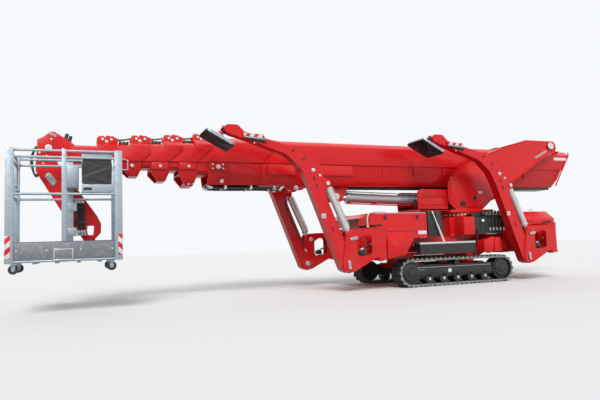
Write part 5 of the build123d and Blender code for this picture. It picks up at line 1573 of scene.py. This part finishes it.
def console():
    """Covered control panel at the near rails, and the cabinet on the mount column."""
    cover_low = Vector((3.272, 0.756, 1.400))
    cover_high = Vector((3.588, 0.926, 1.690))
    cover = crumpled(cover_low, cover_high).piece("folded_panel_cover", FABRIC, "basket")
    low_z, high_z = PANEL_ZS
    panel = Shape().box((*PANEL_XS, low_z, low_z + 0.100), 0.756, 0.9155, bevel=0.004)
    panel.box((*PANEL_XS, high_z - 0.072, high_z), 0.9085, 0.9155)
    panel.box((*PANEL_XS, high_z - 0.012, high_z), 0.756, 0.915)
    panel.box((*PANEL_XS, *PANEL_ZS), 0.744, 0.757)
    panel.piece("control_panel", ZINC_COAT, "basket")
    slots = Shape().box((3.484, 3.571, 1.338, 1.368), 0.9150, 0.9180, 0.005, steps=3)
    knob = ((0.0, 0.014), (0.008, 0.010), (0.020, 0.006), (0.024, 0.010), (0.028, 0.004))
    for x in (3.34, 3.42, 3.50):
        slots.lathe(knob, (x, 0.7440, 1.370), (0, -1, 0), 14)
    slots.piece("control_panel_slot_and_knobs", BLACK, "basket")
    low, high = (Vector(corner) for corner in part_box("control_console"))
    low.x, high.x = CABINET_XS
    cabinet = Shape().box((low.x, high.x, low.z, high.z), low.y, high.y - 0.010, bevel=0.006)
    door = (low.x + 0.010, high.x - 0.010, low.z + 0.010, high.z - 0.010)
    cabinet.box(door, high.y - 0.012, high.y, 0.012)
    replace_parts(cabinet.piece("control_cabinet", ZINC_COAT, "basket"), "control_console")


def camera():
    """The photograph's viewing angle."""
    right = Vector(CAMERA_RIGHT).normalized()
    up = Vector(CAMERA_UP)
    back = right.cross(up).normalized()
    up = back.cross(right)
    data = bpy.data.cameras.new("camera")
    data.sensor_width = SENSOR_MM
    data.lens = CAMERA_FOCAL_PX / PHOTO_WIDTH_PX * SENSOR_MM
    data.clip_end = 200
    eye = bpy.data.objects.new("camera", data)
    bpy.context.scene.collection.objects.link(eye)
    turn = Matrix((right, up, back)).transposed().to_4x4()
    eye.matrix_world = Matrix.Translation(CAMERA_PLACE) @ turn
    bpy.context.scene.camera = eye


def sun(name, spot, target, spread, strength):
    """A broad sun that shines from a place towards another, alike over the whole object."""
    data = bpy.data.lights.new(name, "SUN")
    data.angle = math.radians(spread)
    data.energy = strength
    light = bpy.data.objects.new(name, data)
    bpy.context.scene.collection.objects.link(light)
    light.location = spot
    light.rotation_euler = (Vector(target) - Vector(spot)).to_track_quat("-Z", "Y").to_euler()


def seen_directly(tree):
    """1 for rays from the camera, from a glossy surface or through a clear one, and 0 for others."""
    path = tree.nodes.new("ShaderNodeLightPath")
    factor = path.outputs["Is Camera Ray"]
    for ray in ("Is Glossy Ray", "Is Transmission Ray"):
        larger = tree.nodes.new("ShaderNodeMath")
        larger.operation = "MAXIMUM"
        tree.links.new(factor, larger.inputs[0])
        tree.links.new(path.outputs[ray], larger.inputs[1])
        factor = larger.outputs[0]
    return factor


def stage():
    """Pale floor, pale world and three broad suns."""
    bpy.ops.mesh.primitive_plane_add(size=120, location=(0, 0, cad_box[0][2]))
    floor = bpy.context.object
    floor.name = "floor"
    look = Look("pale_floor", (0.26, 0.26, 0.26), 0.9)
    look.worn((0.6, 4, 0.3, 0.8, 0.15, (0.24, 0.24, 0.24)))
    look.tint(seen_directly(look.tree), (0.88, 0.88, 0.87))
    floor.data.materials.append(look.material)
    world = bpy.data.worlds.new("studio")
    bpy.context.scene.world = world
    world.use_nodes = True
    tree = world.node_tree
    lit = tree.nodes["Background"]
    seen = tree.nodes.new("ShaderNodeBackground")
    for shader, colour, strength in (
        (lit, (0.86, 0.91, 0.96, 1), 0.34),
        (seen, (0.93, 0.95, 0.97, 1), 1.0),
    ):
        shader.inputs["Color"].default_value = colour
        shader.inputs["Strength"].default_value = strength
    mix = tree.nodes.new("ShaderNodeMixShader")
    tree.links.new(seen_directly(tree), mix.inputs[0])
    tree.links.new(lit.outputs[0], mix.inputs[1])
    tree.links.new(seen.outputs[0], mix.inputs[2])
    tree.links.new(mix.outputs[0], tree.nodes["World Output"].inputs["Surface"])
    sun("key", (3.6, 8.0, 9.0), (0, 0, 1.2), 30, 2.4)
    sun("fill", (-8.0, 7.0, 5.0), (-1, 0, 1.2), 60, 0.35)
    sun("back", (-2.0, -9.0, 8.0), (0, 0, 1.5), 60, 0.55)


bpy.context.scene.view_settings.view_transform = "Standard"
camera()
stage()
dress_nodes()
boom_forms()
guide_head_forms()
boom_fittings()
jib_form()
chassis_forms()
basket_forms()
track_details()
step_details()
bonnet_details()
chassis_details()
power_box_details()
turret_details()
boom_details()
section_details()
lift_cylinder_details()
jib_details()
leg_details()
basket_details()
